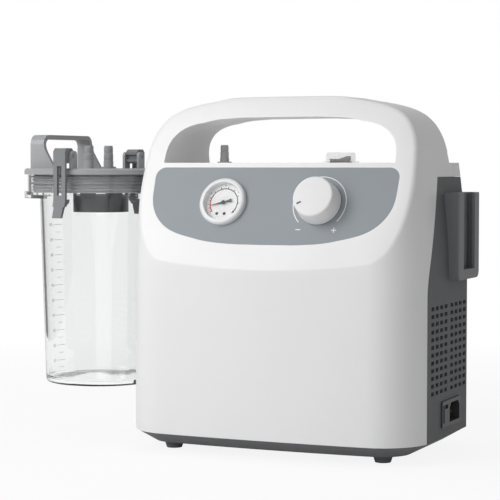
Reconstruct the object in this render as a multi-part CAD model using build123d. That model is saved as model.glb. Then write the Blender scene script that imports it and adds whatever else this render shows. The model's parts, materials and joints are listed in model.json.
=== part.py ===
from build123d import *
import os
from math import atan, cos, degrees, radians, sin

# A portable vacuum aspirator: a housing with a loop handle, and a collection jar on its left side.
# Millimetres. While the pieces are shaped, x runs to the right, y to the back and z up from the
# table, from the point under the middle of the housing.

# Housing
HALF_W = 131.0
FRONT_Y = -79.0
BOW = 5.0
BACK_Y = 74.0
CORNER_R = 42.0
REAR_R = 9.0
HEM_Z = 16.0
HIP_Z = 150.0
BOX_TOP = 243.0
ARCH_TOP = 298.5
ARCH_FOOT = 250.0
WAIST_IN = 8.0
WALL = 3.0
SEAM_Y = 49.5
GAP = 0.3

# Tilted front, which carries the control panel and runs on up the handle
LEAN = 0.40
LEAN_ANGLE = degrees(atan(LEAN))
RIDGE_Y = -44.0
CREASE_R = 5.0

# Screws of the rear shell, left and right of the middle
SCREW_X = 94.0

# Handle
HAND_HALF = 104.0
HAND_TOP = 281.0
HANDLE_REAR = 47.0
HANDLE_REAR_LEAN = 0.25
HANDLE_REAR_R = 9.0

# Side panels, drawn in y and z
SIDE_FRONT = -40.0
SIDE_KNEE_Z = 148.0
SIDE_TOP = 231.0
SIDE_LIP = 4.0
VENT_ROWS = 12
VENT_COLUMNS = 4
VENT_LOW_Z = 55.0
VENT_PITCH_Z = 6.3
VENT_PITCH_Y = 11.6
VENT_W = 7.6
VENT_H = 3.2
VENT_BANK_Y = (-27.0, 24.0)

# Jar brackets
BRACKET_Y = 44.0
BRACKET_W = 58.0
BRACKET_LOW = 145.0
BRACKET_TOP = 218.0
BRACKET_OUT = 8.6
SLOT_W = 31.0
SLOT_LIP = 2.6
POCKET_W = 42.0
POCKET_D = 4.6
SLOT_FLOOR = 8.5

# Control panel, in the tilted plane about its middle height
PANEL_Z = 208.0
PANEL_T = 1.5
GAUGE_X = -42.0
GAUGE_Z = 210.0
GAUGE_R = 20.5
GAUGE_CASE_R = 18.5
GAUGE_CASE_D = 24.0
NEEDLE_REST = 194.5
KNOB_X = 44.0
KNOB_Z = 210.0
KNOB_R = 17.0
KNOB_BASE_R = 18.8
KNOB_D = 17.0
SPINDLE_R = 3.0

# Box top
BARB_X = -74.0
BARB_Y = 14.0
BARB_R = 3.9
BARB_BORE = 2.4
SWITCH_X = 35.0
SWITCH_Y = 14.0
SWITCH_W = 22.0
SWITCH_L = 15.0
ROCKER_REST = -8.0

# Power inlet in the right side
INLET_Y = 20.0
INLET_Z = 35.0
INLET_W = 50.0
INLET_H = 22.0
DRAWER_Y = (INLET_Y - 21.5, INLET_Y - 9.5)
SOCKET_Y = (INLET_Y - 5.5, INLET_Y + 21.5)

# Base and feet
TRAY_LOW = 6.0
TRAY_IN = 17.0
FOOT_X = 94.6
FOOT_Y = 44.0
FOOT_R = 8.5
FOOT_TIP_R = 6.5

# Collection jar
JAR_X = -214.0
JAR_Y = 44.0
JAR_LOW = 41.5
JAR_LOW_R = 51.0
JAR_TOP_R = 56.0
JAR_WALL = 2.5
FLANGE_LOW = 211.0
FLANGE_TOP = 217.0
FLANGE_R = 70.0
COLLAR_R = 67.0
COLLAR_TOP = 232.2
LID_LOW = 232.5
LID_TOP = 238.0
LID_R = 70.0
PLUG_R = 59.0
PLUG_LOW = 216.0
PORT_R = 4.6
PORT_TOP = 259.0
PORT_SPREAD = 18.5
CUP_R = 25.5
CUP_LOW = 198.0
FLOAT_R = 19.0
FLOAT_H = 9.0
STRAP_X = (-48.0, -22.0)
STRAP_CROWN_X = -34.0
STRAP_HALF = 45.0
STRAP_TOP = 268.5
STRAP_T = 4.0
TAB_REACH = 74.5

# Clips
CLIP_W = 12.0
CLIP_OUT = 76.0
CLIP_IN = CLIP_OUT - 3.0
PIVOT_R = 66.0
PIVOT_Z = 249.0
PIN_R = 2.0
CLIP_REACH = 81.5

# Pump inside
PLATE_Z = 26.0
CRANK_X = -52.0
CRANK_Z = 66.0
PUMP_Y = 8.0
THROW = 2.0
MOTOR_R = 30.0
MOTOR_L = 74.0
HEAD_Z = 128.0
MOTOR_X = -30.0
CASE_TOP = 106.0
CASE_X = (-76.0, -30.0)
SILENCER = (86.0, 10.0)
MOUNT_X = (-80.5, 40.0)
MOUNT_Y = (-34.0, 36.0)

# Soft tubes inside, and the stubs that they are pushed on
TUBE_R = 4.4
STUB_R = 3.0
STUB_REACH = 14.0
MANIFOLD_Z = 212.0

# The row's origin is on the table, under the middle of the whole object's box
LEFT_REACH = JAR_X - TAB_REACH
RIGHT_REACH = HALF_W + BRACKET_OUT
FRONT_REACH = FRONT_Y
BACK_REACH = JAR_Y + CLIP_REACH
SHIFT = (-(LEFT_REACH + RIGHT_REACH) / 2, -(FRONT_REACH + BACK_REACH) / 2, 0)


def box(x0, x1, y0, y1, z0, z1):
    """Box between two corners."""
    size = (x1 - x0, y1 - y0, z1 - z0)
    return Pos((x0 + x1) / 2, (y0 + y1) / 2, (z0 + z1) / 2) * Box(*size)


def rod(radius, start, end):
    """Cylinder from one point to another."""
    start, end = Vector(start), Vector(end)
    along = end - start
    standing = (Align.CENTER, Align.CENTER, Align.MIN)
    return Plane(start, z_dir=along) * Cylinder(radius, along.length, align=standing)


def upright(radius, x, y, z0, z1):
    """Vertical cylinder."""
    return rod(radius, (x, y, z0), (x, y, z1))


def front_face_y(z):
    """Y of the tilted front plane at a height."""
    return RIDGE_Y - (BOX_TOP - z) * LEAN


def panel_plane(x, z):
    """Plane on the tilted front: its x is the object's x, its normal points out at the user."""
    lean = radians(LEAN_ANGLE)
    return Plane((x, front_face_y(z), z), x_dir=(1, 0, 0), z_dir=(0, -cos(lean), sin(lean)))


def on_panel(x, z, shape):
    """Shape drawn about the origin and set on the tilted front, its z pointing out."""
    return panel_plane(x, z) * shape


def disc(radius, low, high):
    """Cylinder about the z axis between two heights."""
    return Pos(0, 0, (low + high) / 2) * Cylinder(radius, high - low)


def ring(outer, inner, low, high):
    """Tube about the z axis between two heights."""
    return disc(outer, low, high) - disc(inner, low, high)


def half_width(z):
    """Half width of the housing at a height: straight, then drawn in towards the handle."""
    if z <= HIP_Z:
        return HALF_W
    share = (min(z, ARCH_FOOT) - HIP_Z) / (BOX_TOP - HIP_Z)
    return HALF_W - WAIST_IN * share**1.6


def plan(z, inset):
    """Plan section of the housing at a height."""
    half = half_width(z) - inset
    front = FRONT_Y + inset
    back = BACK_Y - inset
    with BuildSketch(Plane.XY.offset(z)) as section:
        with BuildLine():
            ThreePointArc((-half, front + BOW), (0, front), (half, front + BOW))
            Polyline((half, front + BOW), (half, back), (-half, back), (-half, front + BOW))
        make_face()
        fillet(section.vertices().group_by(Axis.Y)[0], CORNER_R - inset)
        fillet(section.vertices().group_by(Axis.Y)[-1], max(REAR_R - inset, REAR_R / 3))
    return section.sketch


def column(inset, top):
    """The housing as one upright column, before the front is cut back."""
    straight = extrude(plan(HEM_Z, inset), amount=HIP_Z - HEM_Z)
    heights = [HIP_Z, 172, 196, 220, 236, ARCH_FOOT]
    waist = loft([plan(z, inset) for z in heights])
    head = extrude(plan(ARCH_FOOT, inset), amount=top - ARCH_FOOT)
    return straight + waist + head


def front_cut(inset):
    """All that lies before the tilted front plane."""
    shift = inset / cos(radians(LEAN_ANGLE))
    with BuildSketch(Plane.YZ) as side:
        with BuildLine():
            low, high = 100.0, 340.0
            Polyline(
                (front_face_y(low) + shift, low),
                (front_face_y(high) + shift, high),
                (-300, high),
                (-300, low),
                close=True,
            )
        make_face()
    return extrude(side.sketch, amount=200, both=True)


def arch_outline():
    """Front view of the handle's outer arch, open below."""
    with BuildSketch(Plane.XZ) as front:
        with BuildLine():
            foot = (half_width(ARCH_FOOT) + 1.2, ARCH_FOOT - 6)
            right = Spline(foot, (117.5, 268), (108, 281), (92, 289.5), (62, 295.8), (0, ARCH_TOP),
                           tangents=((-0.12, 1), (-1, 0)))
            mirror(right, about=Plane.YZ)
            Polyline(foot, (160, foot[1]), (160, 0), (-160, 0), (-160, foot[1]), (-foot[0], foot[1]))
        make_face()
    return front.sketch


def hand_outline():
    """Front view of the opening for the hand, down to the box top."""
    with BuildSketch(Plane.XZ) as front:
        with BuildLine():
            sill = (HAND_HALF, BOX_TOP)
            crown = (0, HAND_TOP)
            right = Spline(sill, (101.5, 260), (90, 272), (62, 279), crown, tangents=((0, 1), (-1, 0)))
            mirror(right, about=Plane.YZ)
            Line(sill, (-HAND_HALF, BOX_TOP))
        make_face()
    return front.sketch


def rear_cut():
    """All that lies behind the handle and above the box, and the rounded rear shoulder."""
    with BuildSketch(Plane.YZ) as side:
        with BuildLine():
            lean = (ARCH_TOP + 20 - BOX_TOP) * HANDLE_REAR_LEAN
            Polyline(
                (HANDLE_REAR, BOX_TOP),
                (HANDLE_REAR - lean, ARCH_TOP + 20),
                (200, ARCH_TOP + 20),
                (200, 0),
                (BACK_Y, 0),
                (BACK_Y, BOX_TOP),
                close=True,
            )
        make_face()
        fillet(side.vertices().filter_by(lambda v: abs(v.X - BACK_Y) < 1 and v.Y > 200), REAR_R)
    return extrude(side.sketch, amount=200, both=True)


def housing_solid():
    """Outer form of the whole housing, with the handle."""
    form = column(0, ARCH_TOP + 10) - front_cut(0)
    form &= extrude(arch_outline(), amount=200, both=True)
    form -= rear_cut()
    crease = [e for e in form.edges() if is_crease(e)]
    form = fillet(crease, CREASE_R)
    rear = [e for e in form.edges() if is_handle_rear(e)]
    form = fillet(rear, HANDLE_REAR_R)
    form -= extrude(hand_outline(), amount=200, both=True)
    return form


def is_crease(edge):
    """True for the edge between the tilted front and the rounded outside."""
    points = [edge.position_at(t) for t in (0.1, 0.5, 0.9)]
    return all(abs(v.Y - front_face_y(v.Z)) < 0.01 for v in points) and points[1].Z > HEM_Z


def is_handle_rear(edge):
    """True for the edge between the handle's back and its outer arch."""
    points = [edge.position_at(t) for t in (0.1, 0.5, 0.9)]
    on_plane = all(abs(v.Y - HANDLE_REAR + (v.Z - BOX_TOP) * HANDLE_REAR_LEAN) < 0.01 for v in points)
    return on_plane and points[1].Z > BOX_TOP + 3


def cavity_solid(inset):
    """Space inside the housing's wall, or inside a thicker wall for a larger inset."""
    form = column(inset, ARCH_TOP) - front_cut(inset)
    return form & box(-HALF_W, HALF_W, FRONT_Y - 1, BACK_Y + 1, HEM_Z, BOX_TOP - inset)


def side_region(side, grow):
    """Prism over the outline of a side panel, which wraps round the rear corner."""
    with BuildSketch(Plane.YZ) as outline:
        with BuildLine():
            Polyline(
                (SIDE_FRONT - grow, 0),
                (SIDE_FRONT - grow, SIDE_KNEE_Z),
                (3 - grow, SIDE_TOP + grow),
                (BACK_Y + 20, SIDE_TOP + grow),
                (BACK_Y + 20, 0),
                close=True,
            )
        make_face()
        knee = outline.vertices().sort_by_distance((SIDE_FRONT - grow, SIDE_KNEE_Z))[0]
        crown = outline.vertices().sort_by_distance((3 - grow, SIDE_TOP + grow))[0]
        fillet(knee, 60)
        fillet(crown, 16)
    inner = HALF_W - 14 - grow
    slab = extrude(outline.sketch, amount=HALF_W + 20, both=True)
    return slab & box(*sorted((side * inner, side * (HALF_W + 10))), -200, 200, 0, 300)


def panel_outline():
    """Outline of the control panel in the tilted plane."""
    with BuildSketch() as outline:
        with BuildLine():
            edge = (109.0, 10.0)
            right = Spline(edge, (106, -4), (98, -15.5), (84, -24.5), (60, -31), (0, -34.7),
                           tangents=((-0.05, -1), (-1, 0)))
            mirror(right, about=Plane.YZ)
            Polyline(edge, (109.8, 33.4), (-109.8, 33.4), (-109.0, 10.0))
        make_face()
        fillet(outline.vertices().group_by(Axis.Y)[-1], 9)
    return outline.sketch


def panel_slab(low, high):
    """The panel's outline as a slab between two heights over the tilted front."""
    return on_panel(0, PANEL_Z, Pos(0, 0, low) * extrude(panel_outline(), amount=high - low))


def front_shell(outer, cavity):
    """Front shell with the handle: wall, panel recess, screw bosses and the holes of the controls."""
    shell = outer - cavity
    shell &= box(-200, 200, -200, SEAM_Y - GAP, 0, 400)
    shell -= side_region(1, GAP) + side_region(-1, GAP)
    shell -= panel_slab(-PANEL_T, 5)
    shell -= on_panel(GAUGE_X, GAUGE_Z, disc(GAUGE_CASE_R, -30, 5))
    shell -= on_panel(KNOB_X, KNOB_Z, disc(5.2, -30, 5))
    shell -= upright(4.6, BARB_X, BARB_Y, BOX_TOP - 10, BOX_TOP + 5)
    shell -= box(SWITCH_X - 10, SWITCH_X + 10, SWITCH_Y - 6.5, SWITCH_Y + 6.5, BOX_TOP - 10, BOX_TOP + 0.01)
    for x in (-SCREW_X, SCREW_X):
        boss = rod(4.5, (x, 25, 233), (x, SEAM_Y - GAP, 233))
        web = box(x - 1.5, x + 1.5, 25, SEAM_Y - GAP, 233, BOX_TOP - WALL + 0.5)
        shell += boss + web - rod(1.4, (x, 28, 233), (x, SEAM_Y, 233))
    return shell


def screw_points():
    """Where the rear shell is screwed on, as x and z."""
    return [(x, z) for x in (-SCREW_X, SCREW_X) for z in (27, 233)]


def rear_shell(outer, cavity):
    """Rear shell with its countersunk screw holes and the spigots that reach the bosses."""
    shell = outer - cavity
    shell &= box(-200, 200, SEAM_Y, 200, 0, 400)
    shell -= side_region(1, GAP) + side_region(-1, GAP)
    for x, z in screw_points():
        spigot = rod(5.5, (x, SEAM_Y, z), (x, BACK_Y - 1, z))
        shell += spigot & cavity_block()
        shell -= rod(1.7, (x, SEAM_Y - 1, z), (x, BACK_Y + 1, z))
        shell -= rod(3.6, (x, BACK_Y - 14, z), (x, BACK_Y + 1, z))
    return shell


def cavity_block():
    """Plain block inside the housing, to keep spigots within the wall."""
    return box(-HALF_W, HALF_W, FRONT_Y, BACK_Y - 0.5, HEM_Z, BOX_TOP - 1)


def housing_screws():
    """Screws of the rear shell."""
    screws = []
    for x, z in screw_points():
        head = rod(3.0, (x, BACK_Y - 14, z), (x, BACK_Y - 12, z))
        shank = rod(1.4, (x, BACK_Y - 38, z), (x, BACK_Y - 14, z))
        slot = box(x - 0.4, x + 0.4, BACK_Y - 13, BACK_Y - 11, z - 2, z + 2)
        screws.append(head + shank - slot)
    return screws


def vent_rows(side):
    """Cutters of the ventilation slots of one side panel."""
    slots = []
    for bank in VENT_BANK_Y:
        for column_index in range(VENT_COLUMNS):
            for row in range(VENT_ROWS):
                y = bank + column_index * VENT_PITCH_Y
                z = VENT_LOW_Z + row * VENT_PITCH_Z
                x = side * (HALF_W - 2)
                slots.append(Pos(x, y, z) * Box(12, VENT_W, VENT_H))
    return slots


def side_panel(side, outer, cavity):
    """Side panel: flush with the shells, with a lip behind them and rows of slots."""
    wall = outer - cavity
    plate = wall & side_region(side, 0)
    lip = (cavity - cavity_solid(WALL + 1.5)) & side_region(side, SIDE_LIP)
    lip &= box(-200, 200, SIDE_FRONT - SIDE_LIP, BACK_Y - 16, HEM_Z + 6, 236)
    plate += lip
    plate -= vent_rows(side)
    if side > 0:
        half_w, half_h = INLET_W / 2 - 2, INLET_H / 2 - 2
        plate -= box(110, 140, INLET_Y - half_w, INLET_Y + half_w, INLET_Z - half_h, INLET_Z + half_h)
    return plate


def jar_bracket(side, outer):
    """Bracket on the side: a slot that is open at the top, with a wider pocket behind its lips."""
    face = HALF_W + BRACKET_OUT
    half = BRACKET_W / 2
    block = box(115, face, BRACKET_Y - half, BRACKET_Y + half, BRACKET_LOW, BRACKET_TOP)
    lower = [e for e in block.edges().filter_by(Axis.X) if e.center().Z < BRACKET_LOW + 1]
    block = fillet(lower, 6)
    rim = [e for e in block.edges() if e.center().X > face - 0.1]
    block = fillet(rim, 1.2)
    floor = BRACKET_LOW + SLOT_FLOOR
    half_slot, half_pocket = SLOT_W / 2, POCKET_W / 2
    pocket_out = face - SLOT_LIP
    block -= box(pocket_out - 1, face + 1, BRACKET_Y - half_slot, BRACKET_Y + half_slot, floor, 300)
    block -= box(
        pocket_out - POCKET_D, pocket_out, BRACKET_Y - half_pocket, BRACKET_Y + half_pocket, floor, 300
    )
    if side < 0:
        block = mirror(block, about=Plane.YZ)
    return block - outer


def control_panel():
    """Printed panel plate in the recess, with the holes of the gauge and the knob."""
    plate = panel_slab(-PANEL_T, 0)
    plate -= on_panel(GAUGE_X, GAUGE_Z, disc(GAUGE_CASE_R, -5, 5))
    plate -= on_panel(KNOB_X, KNOB_Z, disc(5.2, -5, 5))
    return plate


def gauge_case():
    """Cup of the gauge behind the panel, with its threaded stem."""
    cup = disc(GAUGE_CASE_R, -GAUGE_CASE_D, 0) - disc(GAUGE_CASE_R - 1.5, 1.5 - GAUGE_CASE_D, 1)
    stem = ring(4.5, 1.5, -GAUGE_CASE_D - 3, 1.5 - GAUGE_CASE_D)
    stem += ring(STUB_R, 1.5, -GAUGE_CASE_D - 13, -GAUGE_CASE_D - 3)
    return on_panel(GAUGE_X, GAUGE_Z, cup + stem)


def gauge_bezel():
    """Rounded ring of the gauge on the panel."""
    with BuildSketch(Plane.XZ) as section:
        with BuildLine():
            inner = GAUGE_R - 4.4
            Polyline((GAUGE_R, 0), (GAUGE_R, 4.6), (inner + 0.5, 4.6), (inner, 3.2), (inner, 0), close=True)
        make_face()
        fillet(section.vertices().sort_by_distance((GAUGE_R, 4.6))[0], 2.2)
    return on_panel(GAUGE_X, GAUGE_Z, revolve(section.sketch, axis=Axis.Z))


def gauge_window():
    """Clear window in the bezel."""
    return on_panel(GAUGE_X, GAUGE_Z, disc(GAUGE_R - 4.4, 2.0, 3.2))


def gauge_dial():
    """Dial plate, with the hole of the needle's arbor."""
    return on_panel(GAUGE_X, GAUGE_Z, disc(GAUGE_CASE_R - 1.5, -1.6, -0.8) - disc(0.9, -3, 1))


def gauge_movement():
    """Movement behind the dial, with the arbor's bore and the curved pressure tube."""
    block = disc(5.5, -14, -1.6) - disc(0.45, -15, -1)
    post = Pos(0, -7, -12) * Box(6, 14, 5)
    bourdon = ring(14, 11.5, -14, -9) - box(-20, 20, -20, -9, -20, 0) + Pos(0, -11, -11.5) * Box(21, 5, 5)
    base = ring(4.5, 1.5, 1.5 - GAUGE_CASE_D, -14)
    return on_panel(GAUGE_X, GAUGE_Z, block + post + bourdon + base)


def gauge_needle():
    """Needle with its hub, tail and arbor, at its rest mark."""
    hub = disc(1.7, 0.0, 1.2)
    with BuildSketch() as blade:
        Polygon((0, 0.75), (11.6, 0.15), (11.6, -0.15), (0, -0.75), align=None)
        Polygon((0, 0.6), (0, -0.6), (-4, -0.7), (-7.4, -1.4), (-7.4, 1.4), (-4, 0.7), align=None)
    needle = hub + Pos(0, 0, 0.2) * extrude(blade.sketch, amount=0.6) + disc(0.4, -8, 0.1)
    return on_panel(GAUGE_X, GAUGE_Z, Rot(0, 0, NEEDLE_REST) * needle)


def regulator_knob():
    """Knob: tapered body with a wider skirt, hollow behind, with the groove of its mark."""
    with BuildSketch(Plane.XZ) as section:
        with BuildLine():
            Polyline((0, 5), (13, 5), (13, 0.8), (KNOB_BASE_R, 0.8), (KNOB_BASE_R, 3.4), (KNOB_R, KNOB_D),
                     (0, KNOB_D), close=True)
        make_face()
        fillet(section.vertices().sort_by_distance((KNOB_R, KNOB_D))[0], 1.6)
        fillet(section.vertices().sort_by_distance((KNOB_BASE_R, 3.4))[0], 1.0)
    knob = revolve(section.sketch, axis=Axis.Z) - disc(SPINDLE_R, 0, 12)
    groove = Rot(0, 0, 208) * box(10.5, 14.5, -0.8, 0.8, KNOB_D - 0.3, KNOB_D + 1)
    return on_panel(KNOB_X, KNOB_Z, knob - groove)


def regulator_spindle():
    """Spindle that the knob is pressed on."""
    return on_panel(KNOB_X, KNOB_Z, disc(SPINDLE_R, -20, 12))


def regulator_body():
    """Regulator valve behind the panel: threaded bush, body and two hose ports."""
    block = disc(13, -25, -WALL) + disc(5.0, -WALL - 1, 4.0)
    block += rod(STUB_R, (0, 0, -18), (-24, 0, -18))
    bore = disc(SPINDLE_R + 0.05, -21, 5) + rod(1.8, (-25, 0, -18), (14, 0, -18))
    return on_panel(KNOB_X, KNOB_Z, block - bore)


def regulator_nut():
    """Hexagonal nut that holds the regulator on the panel."""
    with BuildSketch() as hexagon:
        RegularPolygon(8, 6)
        Circle(5.0, mode=Mode.SUBTRACT)
    return on_panel(KNOB_X, KNOB_Z, extrude(hexagon.sketch, amount=2.6))


def barb_solid(radius, bore, low, high, steps):
    """Stepped hose barb about the z axis: each step is a little thinner, with a groove below the next."""
    rise = (high - low) / steps
    points = [(bore, low)]
    for index in range(steps):
        step_r = radius - 0.2 * index
        start = low + rise * index
        points += [(step_r, start), (step_r, start + rise - 1.2), (step_r - 0.5, start + rise - 0.6)]
    points += [(radius - 0.2 * steps, high), (bore, high)]
    return turned(points)


def hose_barb():
    """Stepped barb on the box top, with a threaded shank through the wall."""
    barb = barb_solid(BARB_R, BARB_BORE, BOX_TOP + 1, BOX_TOP + 15.5, 3)
    shank = ring(4.5, BARB_BORE, BOX_TOP - 14, BOX_TOP)
    collar = ring(6.2, BARB_BORE, BOX_TOP, BOX_TOP + 1)
    return Pos(BARB_X, BARB_Y, 0) * (barb + shank + collar)


def barb_nut():
    """Nut of the barb under the box top."""
    with BuildSketch() as hexagon:
        RegularPolygon(8, 6)
        Circle(4.5, mode=Mode.SUBTRACT)
    return Pos(BARB_X, BARB_Y, BOX_TOP - WALL - 4) * extrude(hexagon.sketch, amount=4)


def switch_body():
    """Switch housing with its flange on the box top and its two tabs below."""
    body = box(-9.7, 9.7, -6.2, 6.2, -20, 1) + box(-11, 11, -7.5, 7.5, 0, 1)
    body -= box(-8.6, 8.6, -4.6, 4.6, -7, 2)
    body -= rod(1.05, (0, -5.8, 0), (0, 5.8, 0))
    for x in (-5, 5):
        body += box(x - 0.4, x + 0.4, -2.4, 2.4, -28, -20)
    return Pos(SWITCH_X, SWITCH_Y, BOX_TOP) * body


def switch_rocker():
    """Rocker with its pivot pins, tilted to the off side."""
    with BuildSketch(Plane.XZ) as section:
        with BuildLine():
            Polyline((-7.6, 1.0), (-7.9, 4.6), (0, 3.2), (7.9, 4.6), (7.6, 1.0), (0, -4.0), close=True)
        make_face()
    rocker = extrude(section.sketch, amount=4.3, both=True) + rod(1.0, (0, -5.7, 0), (0, 5.7, 0))
    return Pos(SWITCH_X, SWITCH_Y, BOX_TOP) * Rot(0, ROCKER_REST, 0) * rocker


def switch_cover():
    """Clear splash cover over the switch, with its flange."""
    half_w, half_l = SWITCH_W / 2, SWITCH_L / 2
    dome = box(-half_w, half_w, -half_l, half_l, 1.0, 9)
    dome = fillet([e for e in dome.edges() if e.center().Z > 5], 2.2)
    dome += box(-half_w - 2, half_w + 2, -half_l - 2, half_l + 2, 0, 1.6)
    inner = box(-half_w + 0.8, half_w - 0.8, -half_l + 0.8, half_l - 0.8, 1.0, 8.2)
    seat = box(-11, 11, -7.5, 7.5, -1, 1.0)
    return Pos(SWITCH_X, SWITCH_Y, BOX_TOP) * (dome - inner - seat)


def inlet_body():
    """Power inlet: flange, socket with cut corners and the pocket of the fuse drawer."""
    half_w, half_h = INLET_W / 2, INLET_H / 2
    flange = box(HALF_W, HALF_W + 1.5, INLET_Y - half_w, INLET_Y + half_w, INLET_Z - half_h, INLET_Z + half_h)
    flange = fillet(flange.edges().filter_by(Axis.X), 2)
    inner_w, inner_h = half_w - 2, half_h - 2
    low, high = INLET_Z - inner_h, INLET_Z + inner_h
    body = flange + box(104, HALF_W, INLET_Y - inner_w, INLET_Y + inner_w, low, high)
    with BuildSketch(Plane.YZ) as socket:
        with Locations((sum(SOCKET_Y) / 2, INLET_Z)):
            Rectangle(SOCKET_Y[1] - SOCKET_Y[0], 16)
        chamfer(socket.vertices().group_by(Axis.Y)[-1], 4)
    body -= Pos(112, 0, 0) * extrude(socket.sketch, amount=40)
    body -= box(107, 140, *DRAWER_Y, INLET_Z - 7.5, INLET_Z + 7.5)
    return body - inlet_pins()


def inlet_pins():
    """Three contact pins with their tabs behind."""
    middle = sum(SOCKET_Y) / 2
    pins = []
    for y, z in ((middle - 7, -1.5), (middle, 2.0), (middle + 7, -1.5)):
        pins.append(box(100, 127, y - 1, y + 1, INLET_Z + z - 2, INLET_Z + z + 2))
    return pins


def fuse_drawer():
    """Drawer that slides out of the inlet, with its finger notch and room for two fuses."""
    y0, y1 = DRAWER_Y[0] + 0.3, DRAWER_Y[1] - 0.3
    drawer = box(108, HALF_W + 2.1, y0, y1, INLET_Z - 7.2, INLET_Z + 7.2)
    drawer -= box(HALF_W - 3, HALF_W + 3, y0 + 2, y1 - 2, INLET_Z + 4.5, INLET_Z + 7.3)
    return drawer - fuses()


def fuses():
    """Two glass fuses in the drawer."""
    y = (DRAWER_Y[0] + DRAWER_Y[1]) / 2
    return [rod(2.8, (112, y, INLET_Z + z), (128, y, INLET_Z + z)) for z in (-3.4, 3.4)]


def tray_section(z, inset):
    """Plan of the base tray at a height."""
    return Pos(0, 0, z - HEM_Z) * plan(HEM_Z, inset)


def base_tray():
    """Tray that closes the housing below, tapering in, hollow, with posts for feet and screws."""
    outer = loft([tray_section(TRAY_LOW, TRAY_IN), tray_section(HEM_Z, 0.3)])
    inner = loft([tray_section(TRAY_LOW + 3, TRAY_IN + 2), tray_section(HEM_Z + 0.01, WALL + 0.3)])
    tray = outer - inner
    for x in (-SCREW_X, SCREW_X):
        post = box(x - 5, x + 5, 24, SEAM_Y - GAP, TRAY_LOW + 2, 32)
        tray += post - rod(1.4, (x, 28, 27), (x, SEAM_Y, 27))
    for x in (-FOOT_X, FOOT_X):
        for y in (-FOOT_Y, FOOT_Y):
            tray += upright(6, x, y, TRAY_LOW, TRAY_LOW + 7)
            tray -= upright(3, x, y, TRAY_LOW - 1, TRAY_LOW + 5)
    return tray


def rubber_feet():
    """Four conical rubber feet with their plugs."""
    feet = []
    for x in (-FOOT_X, FOOT_X):
        for y in (-FOOT_Y, FOOT_Y):
            cone = Pos(x, y, TRAY_LOW / 2) * Cone(FOOT_TIP_R, FOOT_R, TRAY_LOW)
            feet.append(cone + upright(3, x, y, TRAY_LOW, TRAY_LOW + 5))
    return feet


def at_jar(shape):
    """Shape drawn about the jar's axis, set at the jar's place."""
    return Pos(JAR_X, JAR_Y, 0) * shape


def turned(points):
    """Solid of revolution about z from a closed outline of radius and height."""
    with BuildSketch(Plane.XZ) as section:
        with BuildLine():
            Polyline(*points, close=True)
        make_face()
    return revolve(section.sketch, axis=Axis.Z)


def jar_body():
    """Clear jar: tapered wall, ring foot, flange, collar, upstand tab and the hook for the bracket."""
    inner_top = JAR_TOP_R - JAR_WALL
    inner_low = JAR_LOW_R - JAR_WALL
    with BuildSketch(Plane.XZ) as section:
        with BuildLine():
            Polyline(
                (0, JAR_LOW + 2),
                (JAR_LOW_R - 9, JAR_LOW + 2),
                (JAR_LOW_R - 7, JAR_LOW),
                (JAR_LOW_R, JAR_LOW),
                (JAR_TOP_R, FLANGE_LOW),
                (FLANGE_R, FLANGE_LOW),
                (FLANGE_R, FLANGE_TOP),
                (COLLAR_R, FLANGE_TOP),
                (COLLAR_R, COLLAR_TOP),
                (COLLAR_R - JAR_WALL, COLLAR_TOP),
                (COLLAR_R - JAR_WALL, FLANGE_LOW + 3),
                (inner_top, FLANGE_LOW + 3),
                (inner_low, JAR_LOW + 4.5),
                (0, JAR_LOW + 4.5),
                close=True,
            )
        make_face()
        fillet(section.vertices().sort_by_distance((JAR_LOW_R, JAR_LOW))[0], 3.5)
        fillet(section.vertices().sort_by_distance((inner_low, JAR_LOW + 4.5))[0], 3.0)
    jar = revolve(section.sketch, axis=Axis.Z)
    jar += box(-TAB_REACH, -FLANGE_R + 0.5, -6, 6, FLANGE_LOW + 1, FLANGE_TOP + 9)
    jar += jar_hook() - disc(JAR_TOP_R - 1, 0, 300)
    return at_jar(jar)


def jar_hook():
    """Hook of the jar, about its axis: T-shaped plate for the bracket, arm and two ribs."""
    face = -JAR_X - HALF_W - BRACKET_OUT
    lip_in = face + SLOT_LIP
    floor = BRACKET_LOW + SLOT_FLOOR + GAP
    top = FLANGE_LOW - 2
    half_plate = POCKET_W / 2 - 0.4
    half_neck = SLOT_W / 2 - 0.4
    plate = box(lip_in + GAP, lip_in + POCKET_D - 0.4, -half_plate, half_plate, floor, top)
    neck = box(face - 3, lip_in + 1, -half_neck, half_neck, floor, top)
    with BuildSketch(Plane.XZ) as web:
        with BuildLine():
            Polyline((48, top), (face - 1, top), (face - 1, floor + 8), (54, top - 34), (48, top - 34),
                     close=True)
        make_face()
    hook = plate + neck
    for y in (-11, 11):
        hook += Pos(0, y, 0) * extrude(web.sketch, amount=1.5, both=True)
    hook += box(48, face - 1, -half_neck, half_neck, top - 3, top)
    return hook


def clip_cheeks(side):
    """Two cheeks on the lid that carry one clip's pin; side is -1 at the front and 1 at the back."""
    cheeks = []
    for x in (-CLIP_W / 2 - 2.8, CLIP_W / 2 + 0.4):
        low, high = sorted((side * 59, side * 69.4))
        plate = box(x, x + 2.4, low, high, LID_LOW + 1, PIVOT_Z + 4.5)
        upper = [e for e in plate.edges().filter_by(Axis.X) if e.center().Z > PIVOT_Z]
        cheeks.append(fillet(upper, 4))
    return cheeks


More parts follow.
